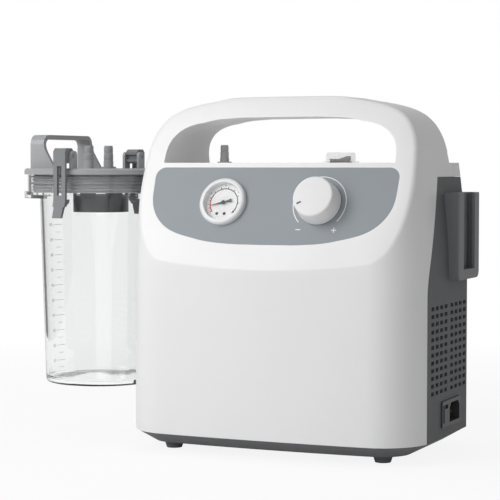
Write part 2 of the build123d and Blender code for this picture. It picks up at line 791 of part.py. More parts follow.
def carry_strap():
    """Carry strap of the lid: a flat arch, straight on its outer side and wider at its legs."""
    out, foot = STRAP_X
    low = LID_TOP - 2
    outer = box(out, foot, -STRAP_HALF, STRAP_HALF, low, STRAP_TOP)
    outer = fillet([e for e in outer.edges().filter_by(Axis.X) if e.center().Z > LID_TOP], 9)
    inner_half = STRAP_HALF - STRAP_T
    inner = box(out - 1, foot + 1, -inner_half, inner_half, low - 1, STRAP_TOP - STRAP_T)
    inner = fillet([e for e in inner.edges().filter_by(Axis.X) if e.center().Z > LID_TOP], 6)
    knee = STRAP_TOP - 12
    with BuildSketch(Plane.XZ) as taper:
        with BuildLine():
            Polyline((out, low), (out, STRAP_TOP), (STRAP_CROWN_X, STRAP_TOP), (STRAP_CROWN_X, knee),
                     (foot, low), close=True)
        make_face()
        fillet(taper.vertices().sort_by_distance((STRAP_CROWN_X, knee))[0], 20)
    return (outer - inner) & extrude(taper.sketch, amount=100, both=True)


def port_places():
    """Front and rear port on the lid, about the jar's axis."""
    return [(-2, -PORT_SPREAD), (-2, PORT_SPREAD)]


def jar_lid():
    """Lid: disc with a rim, plug, carry strap, cheeks of the clips and holes of the two ports."""
    lid = turned([
        (0, LID_LOW), (PLUG_R - 3, LID_LOW), (PLUG_R - 3, PLUG_LOW), (PLUG_R, PLUG_LOW), (PLUG_R, LID_LOW),
        (LID_R, LID_LOW), (LID_R, LID_TOP - 1.5), (LID_R - 1.5, LID_TOP), (LID_R - 9, LID_TOP),
        (LID_R - 11, LID_TOP - 1.5), (0, LID_TOP - 1.5),
    ])
    lid += carry_strap()
    for side in (-1, 1):
        pin = rod(PIN_R, (-20, side * PIVOT_R, PIVOT_Z), (20, side * PIVOT_R, PIVOT_Z))
        for cheek in clip_cheeks(side):
            lid += cheek - pin
    for x, y in port_places():
        lid -= upright(PORT_R, x, y, LID_LOW - 5, LID_TOP + 5)
    return at_jar(lid)


def lid_gasket():
    """Rubber gasket on the plug: a ribbed sleeve with two sealing fins."""
    sleeve = ring(PLUG_R + 2.5, PLUG_R, PLUG_LOW, LID_LOW)
    sealing = COLLAR_R - JAR_WALL
    for z in (223.2, 227.6):
        sleeve += ring(sealing, PLUG_R + 1, z, z + 1.4)
    for z in (217.5, 219.5, 230.2):
        sleeve += ring(PLUG_R + 3.6, PLUG_R + 1, z, z + 1.0)
    return at_jar(sleeve)


def lid_port(x, y, flange_r):
    """Stepped hose port through the lid, with its flange."""
    barb = barb_solid(PORT_R, 2.8, LID_TOP + 1.5, PORT_TOP, 3)
    neck = ring(PORT_R, 2.8, LID_LOW - 3, LID_TOP + 1.5)
    flange = ring(flange_r, 2.8, LID_TOP - 1.5, LID_TOP + 1.5)
    return at_jar(Pos(x, y, 0) * (barb + neck + flange))


def float_cup():
    """Cage of the float below the lid: slotted tube with a closed foot."""
    cup = ring(CUP_R, CUP_R - 2, CUP_LOW, LID_LOW) + disc(CUP_R - 1, CUP_LOW, CUP_LOW + 2)
    for index in range(6):
        window = box(10, 40, -5, 5, 214, 228)
        cup -= Rot(0, 0, 60 * index) * window
    cup -= [Rot(0, 0, 60 * index) * upright(3, 14, 0, CUP_LOW - 1, CUP_LOW + 3) for index in range(6)]
    return at_jar(cup)


def float_valve():
    """Float that rises and shuts the suction port."""
    base = CUP_LOW + 2.3
    body = disc(FLOAT_R, base, base + FLOAT_H)
    body = fillet(body.edges(), 2)
    return at_jar(body + disc(6, base + FLOAT_H - 1, base + FLOAT_H + 3))


def clip(side):
    """Snap clip of the lid: C-shaped head round its pin, slotted plate, catch and finger tab."""
    with BuildSketch(Plane.YZ) as section:
        with BuildLine():
            head = [(CLIP_OUT, 253), (CLIP_OUT - 3, 256), (64, 256), (60.5, 253.5), (60.5, 251)]
            mouth = [(64, 250.4), (64, 247.2), (61.5, 246.5), (61.5, 244.5), (64.5, 242.5)]
            catch = [(CLIP_IN, 242.5), (CLIP_IN, 210.4), (68, 210.4), (69, 207.4), (CLIP_IN, 205.4)]
            tab = [(CLIP_OUT + 2.5, 194), (CLIP_REACH, 194), (CLIP_OUT + 0.5, 208), (CLIP_OUT, 214)]
            Polyline(*[(side * reach, z) for reach, z in head + mouth + catch + tab], close=True)
        make_face()
    body = extrude(section.sketch, amount=CLIP_W / 2, both=True)
    body -= rod(PIN_R + 0.05, (-20, side * PIVOT_R, PIVOT_Z), (20, side * PIVOT_R, PIVOT_Z))
    low, high = sorted((side * 71.5, side * 90))
    body -= box(-2.2, 2.2, low, high, 214, 240)
    for edge in (-CLIP_W / 2, CLIP_W / 2):
        body -= box(edge - 1.5, edge + 1.5, low, high, 190, 204)
    return at_jar(body)


def clip_pins():
    """Pins of the two clips, held in the lid's cheeks."""
    half = CLIP_W / 2 + 2.8
    return [at_jar(rod(PIN_R, (-half, s * PIVOT_R, PIVOT_Z), (half, s * PIVOT_R, PIVOT_Z))) for s in (-1, 1)]


def mount_places():
    """Places of the four rubber mounts under the pump's plate."""
    return [(x, y) for x in MOUNT_X for y in MOUNT_Y]


def mounting_plate():
    """Steel plate that carries the pump."""
    plate = box(-88.5, 58, -48, 56, PLATE_Z, PLATE_Z + 2)
    plate = fillet(plate.edges().filter_by(Axis.Z), 8)
    for x, y in mount_places():
        plate -= upright(3, x, y, PLATE_Z - 1, PLATE_Z + 3)
    return plate


def rubber_mounts():
    """Four waisted rubber mounts on the tray, each with a plug through the plate."""
    mounts = []
    for x, y in mount_places():
        low, over = TRAY_LOW + 3, PLATE_Z + 2
        body = turned([(0, low), (8, low), (5.5, (low + PLATE_Z) / 2), (8, PLATE_Z), (3, PLATE_Z), (3, over),
                       (4, over), (3, over + 3), (0, over + 3)])
        mounts.append(Pos(x, y, 0) * body)
    return mounts


def along_crank(radius, x0, x1, dy=0.0, dz=0.0):
    """Cylinder on the crank's line, or beside it."""
    return rod(radius, (x0, PUMP_Y + dy, CRANK_Z + dz), (x1, PUMP_Y + dy, CRANK_Z + dz))


def motor_can():
    """Steel can of the motor."""
    end = MOTOR_X + MOTOR_L
    can = along_crank(MOTOR_R, MOTOR_X, end) - along_crank(MOTOR_R - 1.5, MOTOR_X + 1.5, end + 1)
    return can - along_crank(9, MOTOR_X - 1, MOTOR_X + 3)


def motor_magnets():
    """Two curved magnets in the can."""
    magnets = along_crank(MOTOR_R - 1.5, MOTOR_X + 12, MOTOR_X + 62)
    magnets -= along_crank(22, MOTOR_X + 10, MOTOR_X + 64)
    gap = box(MOTOR_X, MOTOR_X + 80, PUMP_Y - 8, PUMP_Y + 8, 20, 110)
    return (magnets - gap).solids()


def motor_cap():
    """End cap of the motor with its bearing bore and vent holes."""
    end = MOTOR_X + MOTOR_L
    cap = along_crank(MOTOR_R, end, end + 3) + along_crank(9, end + 3, end + 7)
    cap -= along_crank(6, end - 1, end + 8)
    for index in range(6):
        angle = radians(60 * index)
        cap -= along_crank(3.5, end - 1, end + 4, 19 * cos(angle), 19 * sin(angle))
    return cap


def motor_cradle():
    """Saddle between the motor and the plate, with its strap."""
    low = PLATE_Z + 2
    cradle = box(-14, 26, PUMP_Y - 24, PUMP_Y + 24, low, 54) - along_crank(MOTOR_R, -20, 30)
    return cradle - box(-6, 18, PUMP_Y - 30, PUMP_Y + 30, low + 3, 60)


def shaft_bearings():
    """Three bearings of the shaft: two in the crankcase and one in the motor's cap."""
    end = MOTOR_X + MOTOR_L
    bearings = []
    left, right = CASE_X
    for x0, x1, outer in ((left, left + 4, 9), (right - 4, right, 9), (end + 2, end + 7, 6)):
        bearings.append(along_crank(outer, x0, x1) - along_crank(4.04, x0 - 1, x1 + 1))
    return bearings


def crankshaft():
    """Shaft of motor and pump, with the eccentric, its balance weight and the rotor."""
    end = MOTOR_X + MOTOR_L
    shaft = along_crank(4, CASE_X[0] + 0.5, end + 22)
    shaft += along_crank(9, CRANK_X - 5, CRANK_X + 5, 0, THROW)
    shaft += along_crank(20, MOTOR_X + 14, MOTOR_X + 60)
    weight = along_crank(15, CRANK_X + 6.5, CRANK_X + 10.5) - box(-60, 0, -20, 40, CRANK_Z - 3, 100)
    return shaft + weight + along_crank(5.5, CRANK_X + 5, CRANK_X + 10.5)


def cooling_fan():
    """Fan on the shaft's end: hub and seven tilted blades."""
    x = MOTOR_X + MOTOR_L + 16
    fan = along_crank(8, x - 5, x + 5)
    for index in range(7):
        blade = Pos(x, 0, 16.5) * Rot(0, 0, 35) * Box(1.4, 10, 19)
        fan += Pos(0, PUMP_Y, CRANK_Z) * Rot(360 / 7 * index, 0, 0) * blade
    return fan - along_crank(4, x - 8, x + 8)


def crankcase():
    """Crankcase: walls with bearing bores, open at the top for the rod, on two feet."""
    x0, x1 = CASE_X
    case = box(x0, x1, PUMP_Y - 27, PUMP_Y + 27, 34, CASE_TOP)
    case = fillet(case.edges().filter_by(Axis.X), 5)
    case += box(x0, x1, PUMP_Y - 34, PUMP_Y + 34, PLATE_Z + 2, 36)
    case -= box(x0 + 4, x1 - 4, PUMP_Y - 22, PUMP_Y + 22, 40, 100)
    case -= along_crank(9, x0 - 1, x1 + 1)
    case -= upright(18, CRANK_X, PUMP_Y, 95, CASE_TOP + 1)
    collar = box(CRANK_X - 27, CRANK_X + 27, PUMP_Y - 27, PUMP_Y + 27, 99, CASE_TOP)
    case += collar - upright(18, CRANK_X, PUMP_Y, 95, 110)
    return case - head_screw_holes(1.5)


def head_corners():
    """Places of the four screws of the pump head."""
    return [(CRANK_X + dx, PUMP_Y + dy) for dx in (-22.5, 22.5) for dy in (-22.5, 22.5)]


def head_screw_holes(radius):
    """Cutters of the head's screws."""
    return [upright(radius, x, y, 99.5, 140) for x, y in head_corners()]


def connecting_rod():
    """Rod from the eccentric to the diaphragm, with the lower clamp plate."""
    y, z = PUMP_Y, CRANK_Z + THROW
    body = along_crank(13, CRANK_X - 4, CRANK_X + 4, 0, THROW)
    body += box(CRANK_X - 3.5, CRANK_X + 3.5, y - 5, y + 5, z + 8, 104.2)
    body += upright(12, CRANK_X, y, 104, 106)
    body += upright(3, CRANK_X, y, 106, 107.5)
    return body - along_crank(9.04, CRANK_X - 6, CRANK_X + 6, 0, THROW)


def diaphragm():
    """Rubber diaphragm: clamped rim, convolution and centre."""
    flat = ring(27, 3, CASE_TOP, CASE_TOP + 1.5)
    wave = Pos(0, 0, CASE_TOP + 1.3) * Torus(15, 1.1)
    groove = Pos(0, 0, CASE_TOP + 0.1) * Torus(15, 1.1)
    rim = box(-27, 27, -27, 27, CASE_TOP, CASE_TOP + 1.5) - disc(26, 100, 110)
    body = Pos(CRANK_X, PUMP_Y, 0) * (flat + wave - groove + rim)
    return body - head_screw_holes(1.6)


def clamp_disc():
    """Upper clamp disc of the diaphragm with its screw."""
    disc_part = upright(11, CRANK_X, PUMP_Y, CASE_TOP + 1.5, CASE_TOP + 3.5)
    return disc_part + upright(3.5, CRANK_X, PUMP_Y, CASE_TOP + 3.5, CASE_TOP + 4.0)


def valve_plate():
    """Plate over the diaphragm: chamber below, inlet and outlet valve holes above."""
    plate = box(-27, 27, -27, 27, CASE_TOP + 1.5, 116) - disc(18, CASE_TOP, CASE_TOP + 6)
    for side in (-1, 1):
        for dx, dy in ((-3, 0), (3, 0), (0, -3), (0, 3)):
            plate -= upright(1.2, side * 9 + dx, dy, CASE_TOP, 120)
    return Pos(CRANK_X, PUMP_Y, 0) * plate - head_screw_holes(1.6)


def valve_flaps():
    """Two thin flap valves on the valve plate."""
    return [upright(5, CRANK_X + dx, PUMP_Y, 116, 116.6) for dx in (-9, 9)]


def pump_head():
    """Head cover with its two chambers and two hose barbs."""
    cover = box(-27, 27, -27, 27, 116, HEAD_Z)
    cover = fillet(cover.edges().filter_by(Axis.Z), 4)
    for side in (-1, 1):
        low, high = sorted((side * 1.5, side * 17))
        cover -= box(low, high, -16, 16, 115, 124)
        cover += rod(3, (side * 9, -40, 120), (side * 9, -27, 120))
        cover -= rod(1.7, (side * 9, -41, 120), (side * 9, -10, 120))
    return Pos(CRANK_X, PUMP_Y, 0) * cover - head_screw_holes(1.6)


def head_screws():
    """Four screws of the pump head."""
    screws = []
    for x, y in head_corners():
        head = upright(2.8, x, y, HEAD_Z, HEAD_Z + 3) - upright(1.3, x, y, HEAD_Z + 1.4, HEAD_Z + 4)
        screws.append(head + upright(1.5, x, y, 100, HEAD_Z))
    return screws


def silencer():
    """Exhaust silencer on the tray, with its hose barb and outlet holes."""
    x, y = SILENCER
    low = TRAY_LOW + 3
    body = upright(13, x, y, low, 70) + upright(3, x, y, 70, 84)
    body = body - upright(11, x, y, low + 3, 67) - upright(1.8, x, y, 60, 90)
    for index in range(8):
        angle = radians(45 * index)
        body -= rod(1.5, (x, y, 20), (x + 16 * cos(angle), y + 16 * sin(angle), 20))
    return body


def manifold():
    """Four-way brass piece below the hose barb: stubs to the pump, the gauge and the regulator."""
    top = BOX_TOP - 14
    body = upright(6.5, 0, 0, MANIFOLD_Z - 6, top) + upright(STUB_R, 0, 0, MANIFOLD_Z - 18, MANIFOLD_Z)
    body += rod(STUB_R, (0, 0, MANIFOLD_Z), (16, 0, MANIFOLD_Z))
    body += rod(STUB_R, (0, 0, MANIFOLD_Z), (0, -16, MANIFOLD_Z))
    body -= upright(1.8, 0, 0, MANIFOLD_Z - 19, top + 1) + rod(1.8, (0, 0, MANIFOLD_Z), (17, 0, MANIFOLD_Z))
    body -= rod(1.8, (0, 0, MANIFOLD_Z), (0, -17, MANIFOLD_Z))
    return Pos(BARB_X, BARB_Y, 0) * body


def tube_ends():
    """For each inner tube the point and the direction where it leaves its first stub and enters its last."""
    lean = radians(LEAN_ANGLE)
    outward = Vector(0, -cos(lean), sin(lean))
    gauge = Vector(GAUGE_X, front_face_y(GAUGE_Z), GAUGE_Z) - outward * (GAUGE_CASE_D + 5)
    valve = Vector(KNOB_X - 15, front_face_y(KNOB_Z), KNOB_Z) - outward * 18
    hub = Vector(BARB_X, BARB_Y, MANIFOLD_Z)
    pump_in = Vector(CRANK_X - 9, PUMP_Y - 30, 120)
    pump_out = Vector(CRANK_X + 9, PUMP_Y - 30, 120)
    down, ahead, right = Vector(0, 0, -1), Vector(0, -1, 0), Vector(1, 0, 0)
    return [
        (hub + down * 8, down, pump_in, ahead * -1),
        (hub + ahead * 8, ahead, gauge, outward),
        (hub + right * 8, right, valve, right),
        (pump_out, ahead, Vector(*SILENCER, 72), down),
    ]


def inner_tubes():
    """Soft tubes from the manifold to pump, gauge and regulator, and from the pump to the silencer."""
    tubes = []
    for start, leaving, end, arriving in tube_ends():
        path = Spline(start, end, tangents=(leaving, arriving), tangent_scalars=(1.6, 1.6))
        tube = sweep(Plane(start, z_dir=leaving) * (Circle(TUBE_R) - Circle(STUB_R)), path=path)
        tube -= rod(STUB_R, start, start + leaving * STUB_REACH)
        tubes.append(tube - rod(STUB_R, end - arriving * STUB_REACH, end))
    return tubes


def all_nodes():
    """Every sub-part by its node name."""
    outer = housing_solid()
    cavity = cavity_solid(WALL)
    return {
        "front_shell": front_shell(outer, cavity),
        "rear_shell": rear_shell(outer, cavity),
        "housing_screws": housing_screws(),
        "side_panel_right": side_panel(1, outer, cavity),
        "side_panel_left": side_panel(-1, outer, cavity),
        "jar_bracket_right": jar_bracket(1, outer),
        "jar_bracket_left": jar_bracket(-1, outer),
        "base_tray": base_tray(),
        "rubber_feet": rubber_feet(),
        "control_panel": control_panel(),
        "gauge_case": gauge_case(),
        "gauge_bezel": gauge_bezel(),
        "gauge_window": gauge_window(),
        "gauge_dial": gauge_dial(),
        "gauge_movement": gauge_movement(),
        "gauge_needle": gauge_needle(),
        "regulator_knob": regulator_knob(),
        "regulator_spindle": regulator_spindle(),
        "regulator_body": regulator_body(),
        "regulator_nut": regulator_nut(),
        "hose_barb": hose_barb(),
        "barb_nut": barb_nut(),
        "switch_body": switch_body(),
        "switch_rocker": switch_rocker(),
        "switch_cover": switch_cover(),
        "inlet_body": inlet_body(),
        "inlet_pins": inlet_pins(),
        "fuse_drawer": fuse_drawer(),
        "fuses": fuses(),
        "jar_body": jar_body(),
        "jar_lid": jar_lid(),
        "lid_gasket": lid_gasket(),
        "patient_port": lid_port(*port_places()[0], PORT_R + 0.6),
        "vacuum_port": lid_port(*port_places()[1], 7.0),
        "float_cup": float_cup(),
        "float_valve": float_valve(),
        "clip_front": clip(-1),
        "clip_rear": clip(1),
        "clip_pins": clip_pins(),
        "mounting_plate": mounting_plate(),
        "rubber_mounts": rubber_mounts(),
        "motor_can": motor_can(),
        "motor_magnets": motor_magnets(),
        "motor_cap": motor_cap(),
        "motor_cradle": motor_cradle(),
        "shaft_bearings": shaft_bearings(),
        "crankshaft": crankshaft(),
        "cooling_fan": cooling_fan(),
        "crankcase": crankcase(),
        "connecting_rod": connecting_rod(),
        "diaphragm": diaphragm(),
        "clamp_disc": clamp_disc(),
        "valve_plate": valve_plate(),
        "valve_flaps": valve_flaps(),
        "pump_head": pump_head(),
        "head_screws": head_screws(),
        "silencer": silencer(),
        "manifold": manifold(),
        "inner_tubes": inner_tubes(),
    }


def main():
    """Write one STEP file per sub-part, shifted to the row's origin."""
    os.makedirs("parts", exist_ok=True)
    for name, shape in all_nodes().items():
        pieces = [s for piece in shape for s in piece.solids()] if isinstance(shape, list) else shape.solids()
        placed = [solid.moved(Location(SHIFT)) for solid in pieces]
        export_step(Compound(placed), f"parts/{name}.step")


if __name__ == "__main__":
    main()
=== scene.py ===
"""Looks of a portable vacuum aspirator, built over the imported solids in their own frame."""

import json
import logging
from contextlib import contextmanager
from dataclasses import dataclass
from enum import Enum
from math import atan, cos, radians, sin
from typing import Callable, Iterator, Sequence

import bmesh
import bpy
from mathutils import Matrix, Vector


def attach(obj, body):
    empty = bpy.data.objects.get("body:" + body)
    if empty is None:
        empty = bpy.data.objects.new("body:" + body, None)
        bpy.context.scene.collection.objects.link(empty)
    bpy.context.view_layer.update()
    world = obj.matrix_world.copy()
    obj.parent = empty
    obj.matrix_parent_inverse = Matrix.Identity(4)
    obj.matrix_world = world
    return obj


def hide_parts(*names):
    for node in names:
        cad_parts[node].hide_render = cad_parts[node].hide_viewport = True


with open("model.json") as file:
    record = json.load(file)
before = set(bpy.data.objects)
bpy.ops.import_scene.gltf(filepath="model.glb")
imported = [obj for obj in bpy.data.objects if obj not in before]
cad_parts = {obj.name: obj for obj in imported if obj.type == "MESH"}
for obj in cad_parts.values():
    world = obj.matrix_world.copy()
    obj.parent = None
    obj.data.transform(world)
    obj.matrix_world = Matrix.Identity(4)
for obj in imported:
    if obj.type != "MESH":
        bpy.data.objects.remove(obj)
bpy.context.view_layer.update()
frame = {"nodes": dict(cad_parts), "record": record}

log = logging.getLogger("aspirator")

MM = 0.001
MERGE = 0.01 * MM  # Points closer than this count as one
INK = 0.04 * MM  # Thickness of a printed film
NODE_BODY = {node: body for body, nodes in frame["record"]["behaviour"]["bodies"].items() for node in nodes}

Colour = tuple[float, float, float, float]


def paint(red: float, green: float | None = None, blue: float | None = None) -> Colour:
    """Turn a display colour, each part from 0 to 255, into the linear colour that a shader takes.

    Args:
        red: Red part, or the grey level where it stands alone.
        green: Green part.
        blue: Blue part.

    Returns:
        Linear red, green, blue and an alpha of 1.
    """
    parts = (red, red if green is None else green, red if blue is None else blue)
    linear = [(p / 255 / 12.92) if p <= 10.31 else ((p / 255 + 0.055) / 1.055) ** 2.4 for p in parts]
    return (*linear, 1.0)


def toned(colour: Colour, share: float) -> Colour:
    """Return the colour made lighter or darker by a share."""
    return (*(min(1.0, part * share) for part in colour[:3]), 1.0)


# Materials


class Amount:
    """A value inside a material; arithmetic on it adds Math nodes."""

    def __init__(self, graph: "Graph", socket: bpy.types.NodeSocket) -> None:
        """Wrap an output socket of a graph."""
        self.graph = graph
        self.socket = socket

    def _joined(self, operation: str, first: "Value", second: "Value") -> "Amount":
        """Return the result of one Math node."""
        node = self.graph.node("ShaderNodeMath", {0: first, 1: second}, operation=operation)
        return Amount(self.graph, node.outputs[0])

    def __add__(self, other: "Value") -> "Amount":
        """Add."""
        return self._joined("ADD", self, other)

    def __radd__(self, other: "Value") -> "Amount":
        """Add to a number."""
        return self._joined("ADD", other, self)

    def __rsub__(self, other: "Value") -> "Amount":
        """Subtract from a number."""
        return self._joined("SUBTRACT", other, self)

    def __mul__(self, other: "Value") -> "Amount":
        """Multiply."""
        return self._joined("MULTIPLY", self, other)

    def __rmul__(self, other: "Value") -> "Amount":
        """Multiply a number."""
        return self._joined("MULTIPLY", other, self)

    def __truediv__(self, other: "Value") -> "Amount":
        """Divide."""
        return self._joined("DIVIDE", self, other)

    def at_most(self, other: "Value") -> "Amount":
        """Return the smaller of the two."""
        return self._joined("MINIMUM", self, other)


Value = float | Amount


class Graph:
    """The nodes of one material, or of the world."""

    def __init__(self, owner: bpy.types.Material | bpy.types.World) -> None:
        """Clear the nodes of a material or a world."""
        self.owner = owner
        owner.use_nodes = True
        self.tree = owner.node_tree
        self.tree.nodes.clear()

    @classmethod
    def named(cls, name: str) -> "Graph":
        """Start a new material."""
        return cls(bpy.data.materials.new(name))

    def node(self, kind: str, sockets: dict | None = None, **settings: object) -> bpy.types.Node:
        """Add any node.

        Args:
            kind: Blender's name of the node type.
            sockets: What goes into its sockets, by name or number: numbers, colours or links.
            **settings: Its own settings, which are set first.

        Returns:
            The new node.
        """
        made = self.tree.nodes.new(kind)
        for key, value in settings.items():
            setattr(made, key, value)
        for key, value in (sockets or {}).items():
            source = value.socket if isinstance(value, Amount) else value
            if isinstance(source, bpy.types.NodeSocket):
                self.tree.links.new(source, made.inputs[key])
            else:
                made.inputs[key].default_value = source
        return made

    def place(self) -> bpy.types.NodeSocket:
        """Return the piece's own coordinates."""
        return self.node("ShaderNodeTexCoord").outputs["Object"]

    def ray(self, kind: str) -> Amount:
        """Return 1 for rays of one kind, such as Is Camera Ray."""
        return Amount(self, self.node("ShaderNodeLightPath").outputs[kind])

    def noise(self, size: float, detail: float = 2.0, stretch: Sequence[float] = (1, 1, 1)) -> Amount:
        """Return soft noise.

        Args:
            size: Size of its cells in metres.
            detail: How much fine structure it has.
            stretch: Scale along each axis.

        Returns:
            The noise, from 0 to 1.
        """
        where = self.node("ShaderNodeMapping", {0: self.place(), 3: tuple(stretch)}).outputs[0]
        made = self.node("ShaderNodeTexNoise", {"Vector": where, "Scale": 1 / size, "Detail": detail})
        return Amount(self, made.outputs[0])

    def mixed(self, share: Value, first: object, second: object) -> bpy.types.NodeSocket:
        """Return a colour between two colours."""
        made = self.node("ShaderNodeMix", {0: share, 6: first, 7: second}, data_type="RGBA")
        return made.outputs[2]

    def bump(self, height: Amount, strength: float, reach: float) -> bpy.types.NodeSocket:
        """Return a normal that follows a height.

        Args:
            height: The height, from 0 to 1.
            strength: Strength of the effect, up to 1.
            reach: Real height in metres.

        Returns:
            The normal.
        """
        made = self.node("ShaderNodeBump", {"Strength": strength, "Distance": reach, "Height": height})
        return made.outputs[0]

    def principled(self, sockets: dict) -> bpy.types.Material:
        """Finish with a Principled shader that has these sockets set."""
        return self.finish(self.node("ShaderNodeBsdfPrincipled", sockets))

    def finish(self, shader: bpy.types.Node) -> bpy.types.Material:
        """Send a shader to the output and return the material."""
        self.node("ShaderNodeOutputMaterial", {0: shader.outputs[0]})
        return self.owner


@dataclass(frozen=True)
class Moulded:
    """Moulded plastic with a fine grain and a slight change of tone; lengths are in metres."""

    name: str
    colour: Colour
    roughness: float = 0.42
    grain: float = 0.0009
    depth: float = 0.00003
    coat: float = 0.0
    tone_size: float = 0.09
    darkest: float = 0.975
    lightest: float = 1.015
    patch_size: float = 0.012

    def material(self) -> bpy.types.Material:
        """Return the finish as a material."""
        graph = Graph.named(self.name)
        grain = graph.noise(self.grain, 3)
        tone = graph.noise(self.tone_size, 3)
        dark, light = toned(self.colour, self.darkest), toned(self.colour, self.lightest)
        return graph.principled({
            "Base Color": graph.mixed(tone, dark, light),
            "Roughness": self.roughness - 0.05 + 0.1 * graph.noise(self.patch_size, 2),
            "Normal": graph.bump(grain, 0.35, self.depth),
            "Coat Weight": self.coat,
            "Coat Roughness": 0.25,
            "IOR": 1.46,
        })


@dataclass(frozen=True)
class Clear:
    """Clear moulded plastic."""

    name: str
    tint: Colour
    roughness: float = 0.01
    index: float = 1.5
    shadow_free: float = 0.9

    def material(self) -> bpy.types.Material:
        """Return the finish as a material."""
        graph = Graph.named(self.name)
        return graph.principled({
            "Base Color": graph.mixed(graph.noise(0.07, 2), toned(self.tint, 0.985), self.tint),
            "Roughness": self.roughness + 0.01 * graph.noise(0.02, 2),
            "Alpha": 1.0 - self.shadow_free * graph.ray("Is Shadow Ray"),
            "Transmission Weight": 1.0,
            "IOR": self.index,
        })


@dataclass(frozen=True)
class Film:
    """Thin clear window that shows what is behind it with a faint veil."""

    name: str
    tint: Colour
    cover: float = 0.1

    def material(self) -> bpy.types.Material:
        """Return the finish as a material."""
        graph = Graph.named(self.name)
        haze = graph.noise(0.01, 2)
        return graph.principled({
            "Base Color": self.tint,
            "Roughness": 0.05 + 0.04 * haze,
            "Alpha": self.cover + 0.02 * haze,
            "IOR": 1.5,
        })


@dataclass(frozen=True)
class Rubber:
    """Matt rubber."""

    name: str
    colour: Colour
    roughness: float = 0.72
    grain: float = 0.0006

    def material(self) -> bpy.types.Material:
        """Return the finish as a material."""
        graph = Graph.named(self.name)
        grain = graph.noise(self.grain, 4)
        dark, light = toned(self.colour, 0.9), toned(self.colour, 1.08)
        return graph.principled({
            "Base Color": graph.mixed(graph.noise(0.02, 3), dark, light),
            "Roughness": self.roughness - 0.06 + 0.12 * grain,
            "Normal": graph.bump(grain, 0.4, 0.00004),
            "IOR": 1.5,
        })


@dataclass(frozen=True)
class Metal:
    """Metal with fine lines from turning, drawing or grinding."""

    name: str
    colour: Colour
    roughness: float = 0.3
    lines: tuple[float, float, float] = (1, 1, 12)

    def material(self) -> bpy.types.Material:
        """Return the finish as a material."""
        graph = Graph.named(self.name)
        lines = graph.noise(0.004, 4, self.lines)
        dark, light = toned(self.colour, 0.9), toned(self.colour, 1.05)
        return graph.principled({
            "Base Color": graph.mixed(graph.noise(0.015, 3), dark, light),
            "Roughness": self.roughness - 0.06 + 0.14 * lines,
            "Normal": graph.bump(lines, 0.2, 0.00003),
            "Metallic": 1.0,
        })


@dataclass(frozen=True)
class Ink:
    """Printing ink, a little uneven."""

    name: str
    colour: Colour
    roughness: float = 0.5

    def material(self) -> bpy.types.Material:
        """Return the finish as a material."""
        graph = Graph.named(self.name)
        film = graph.noise(0.0008, 3)
        return graph.principled({
            "Base Color": graph.mixed(film, toned(self.colour, 0.93), toned(self.colour, 1.05)),
            "Roughness": self.roughness + 0.08 * film,
            "Normal": graph.bump(film, 0.1, 0.00001),
        })


class Finish(Enum):
    """Every finish of the object."""

    SHELL = Moulded("shell_white", paint(243), 0.36, 0.0011, 0.00002, 0.12)
    KNOB = Moulded("knob_white", paint(240), 0.4, 0.0009, 0.00002, 0.1)
    PANEL = Moulded("panel_blue_grey", paint(150, 156, 161), 0.5, 0.0005, 0.00001)
    SIDE = Moulded("side_dark_grey", paint(98, 99, 101), 0.62, 0.0008, 0.00006)
    BRACKET = Moulded("bracket_grey", paint(124, 125, 128), 0.5, 0.0009, 0.00004)
    TRAY = Moulded("tray_grey", paint(100, 101, 103), 0.56, 0.0009, 0.00005)
    LID = Moulded("lid_silver_grey", paint(168, 169, 171), 0.34, 0.0012, 0.00002, 0.1)
    CLIP = Moulded("clip_grey", paint(120, 121, 123), 0.4, 0.0009, 0.00002, 0.1)
    CUP = Moulded("cup_dark_grey", paint(78, 79, 81), 0.42, 0.0009, 0.00002)
    BARB = Moulded("barb_grey", paint(246), 0.4, 0.0009, 0.00002)
    BEZEL = Moulded("bezel_silver", paint(150, 152, 151), 0.4, 0.0007, 0.00001)
    DIAL = Moulded("dial_white", paint(232), 0.6, 0.0006, 0.00001)
    BLACK = Moulded("black_plastic", paint(30, 30, 32), 0.42, 0.0008, 0.00003)
    NEEDLE = Moulded("needle_black", paint(18), 0.6, 0.0005, 0.00001)
    GASKET = Rubber("gasket_grey", paint(132, 133, 134), 0.34)
    RUBBER = Rubber("rubber_dark", paint(56, 56, 58))
    TUBE = Rubber("tube_pale", paint(190, 188, 180), 0.5)
    CLEAR = Clear("clear_jar", paint(250, 251, 251))
    WINDOW = Film("clear_window", paint(253), 0.04)
    COVER = Film("clear_cover", paint(250), 0.14)
    STEEL = Metal("zinc_steel", paint(190, 191, 194), 0.32)
    ALUMINIUM = Metal("cast_aluminium", paint(196, 197, 199), 0.42, (1, 1, 1))
    BRASS = Metal("turned_brass", paint(208, 176, 108), 0.28)
    MAGNET = Metal("sintered_magnet", paint(92, 92, 96), 0.6, (1, 1, 1))
    INK_WHITE = Ink("ink_white", paint(244))
    INK_BLACK = Ink("ink_black", paint(16), 0.7)
    INK_RED = Ink("ink_red", paint(214, 20, 70), 0.7)
    INK_SCALE = Ink("ink_scale", paint(140, 142, 145))
    INK_DIGIT = Ink("ink_digit", paint(186, 188, 190))

    def material(self) -> bpy.types.Material:
        """Return the material that has this finish's name, made on first use.

        A solid's own plain material is taken where it has the same name. That holds for seven finishes:
        BARB, BEZEL, BLACK, CLIP, DIAL, GASKET and RUBBER, whose values here have no effect.
        """
        return bpy.data.materials.get(self.value.name) or self.value.material()


# Work on meshes


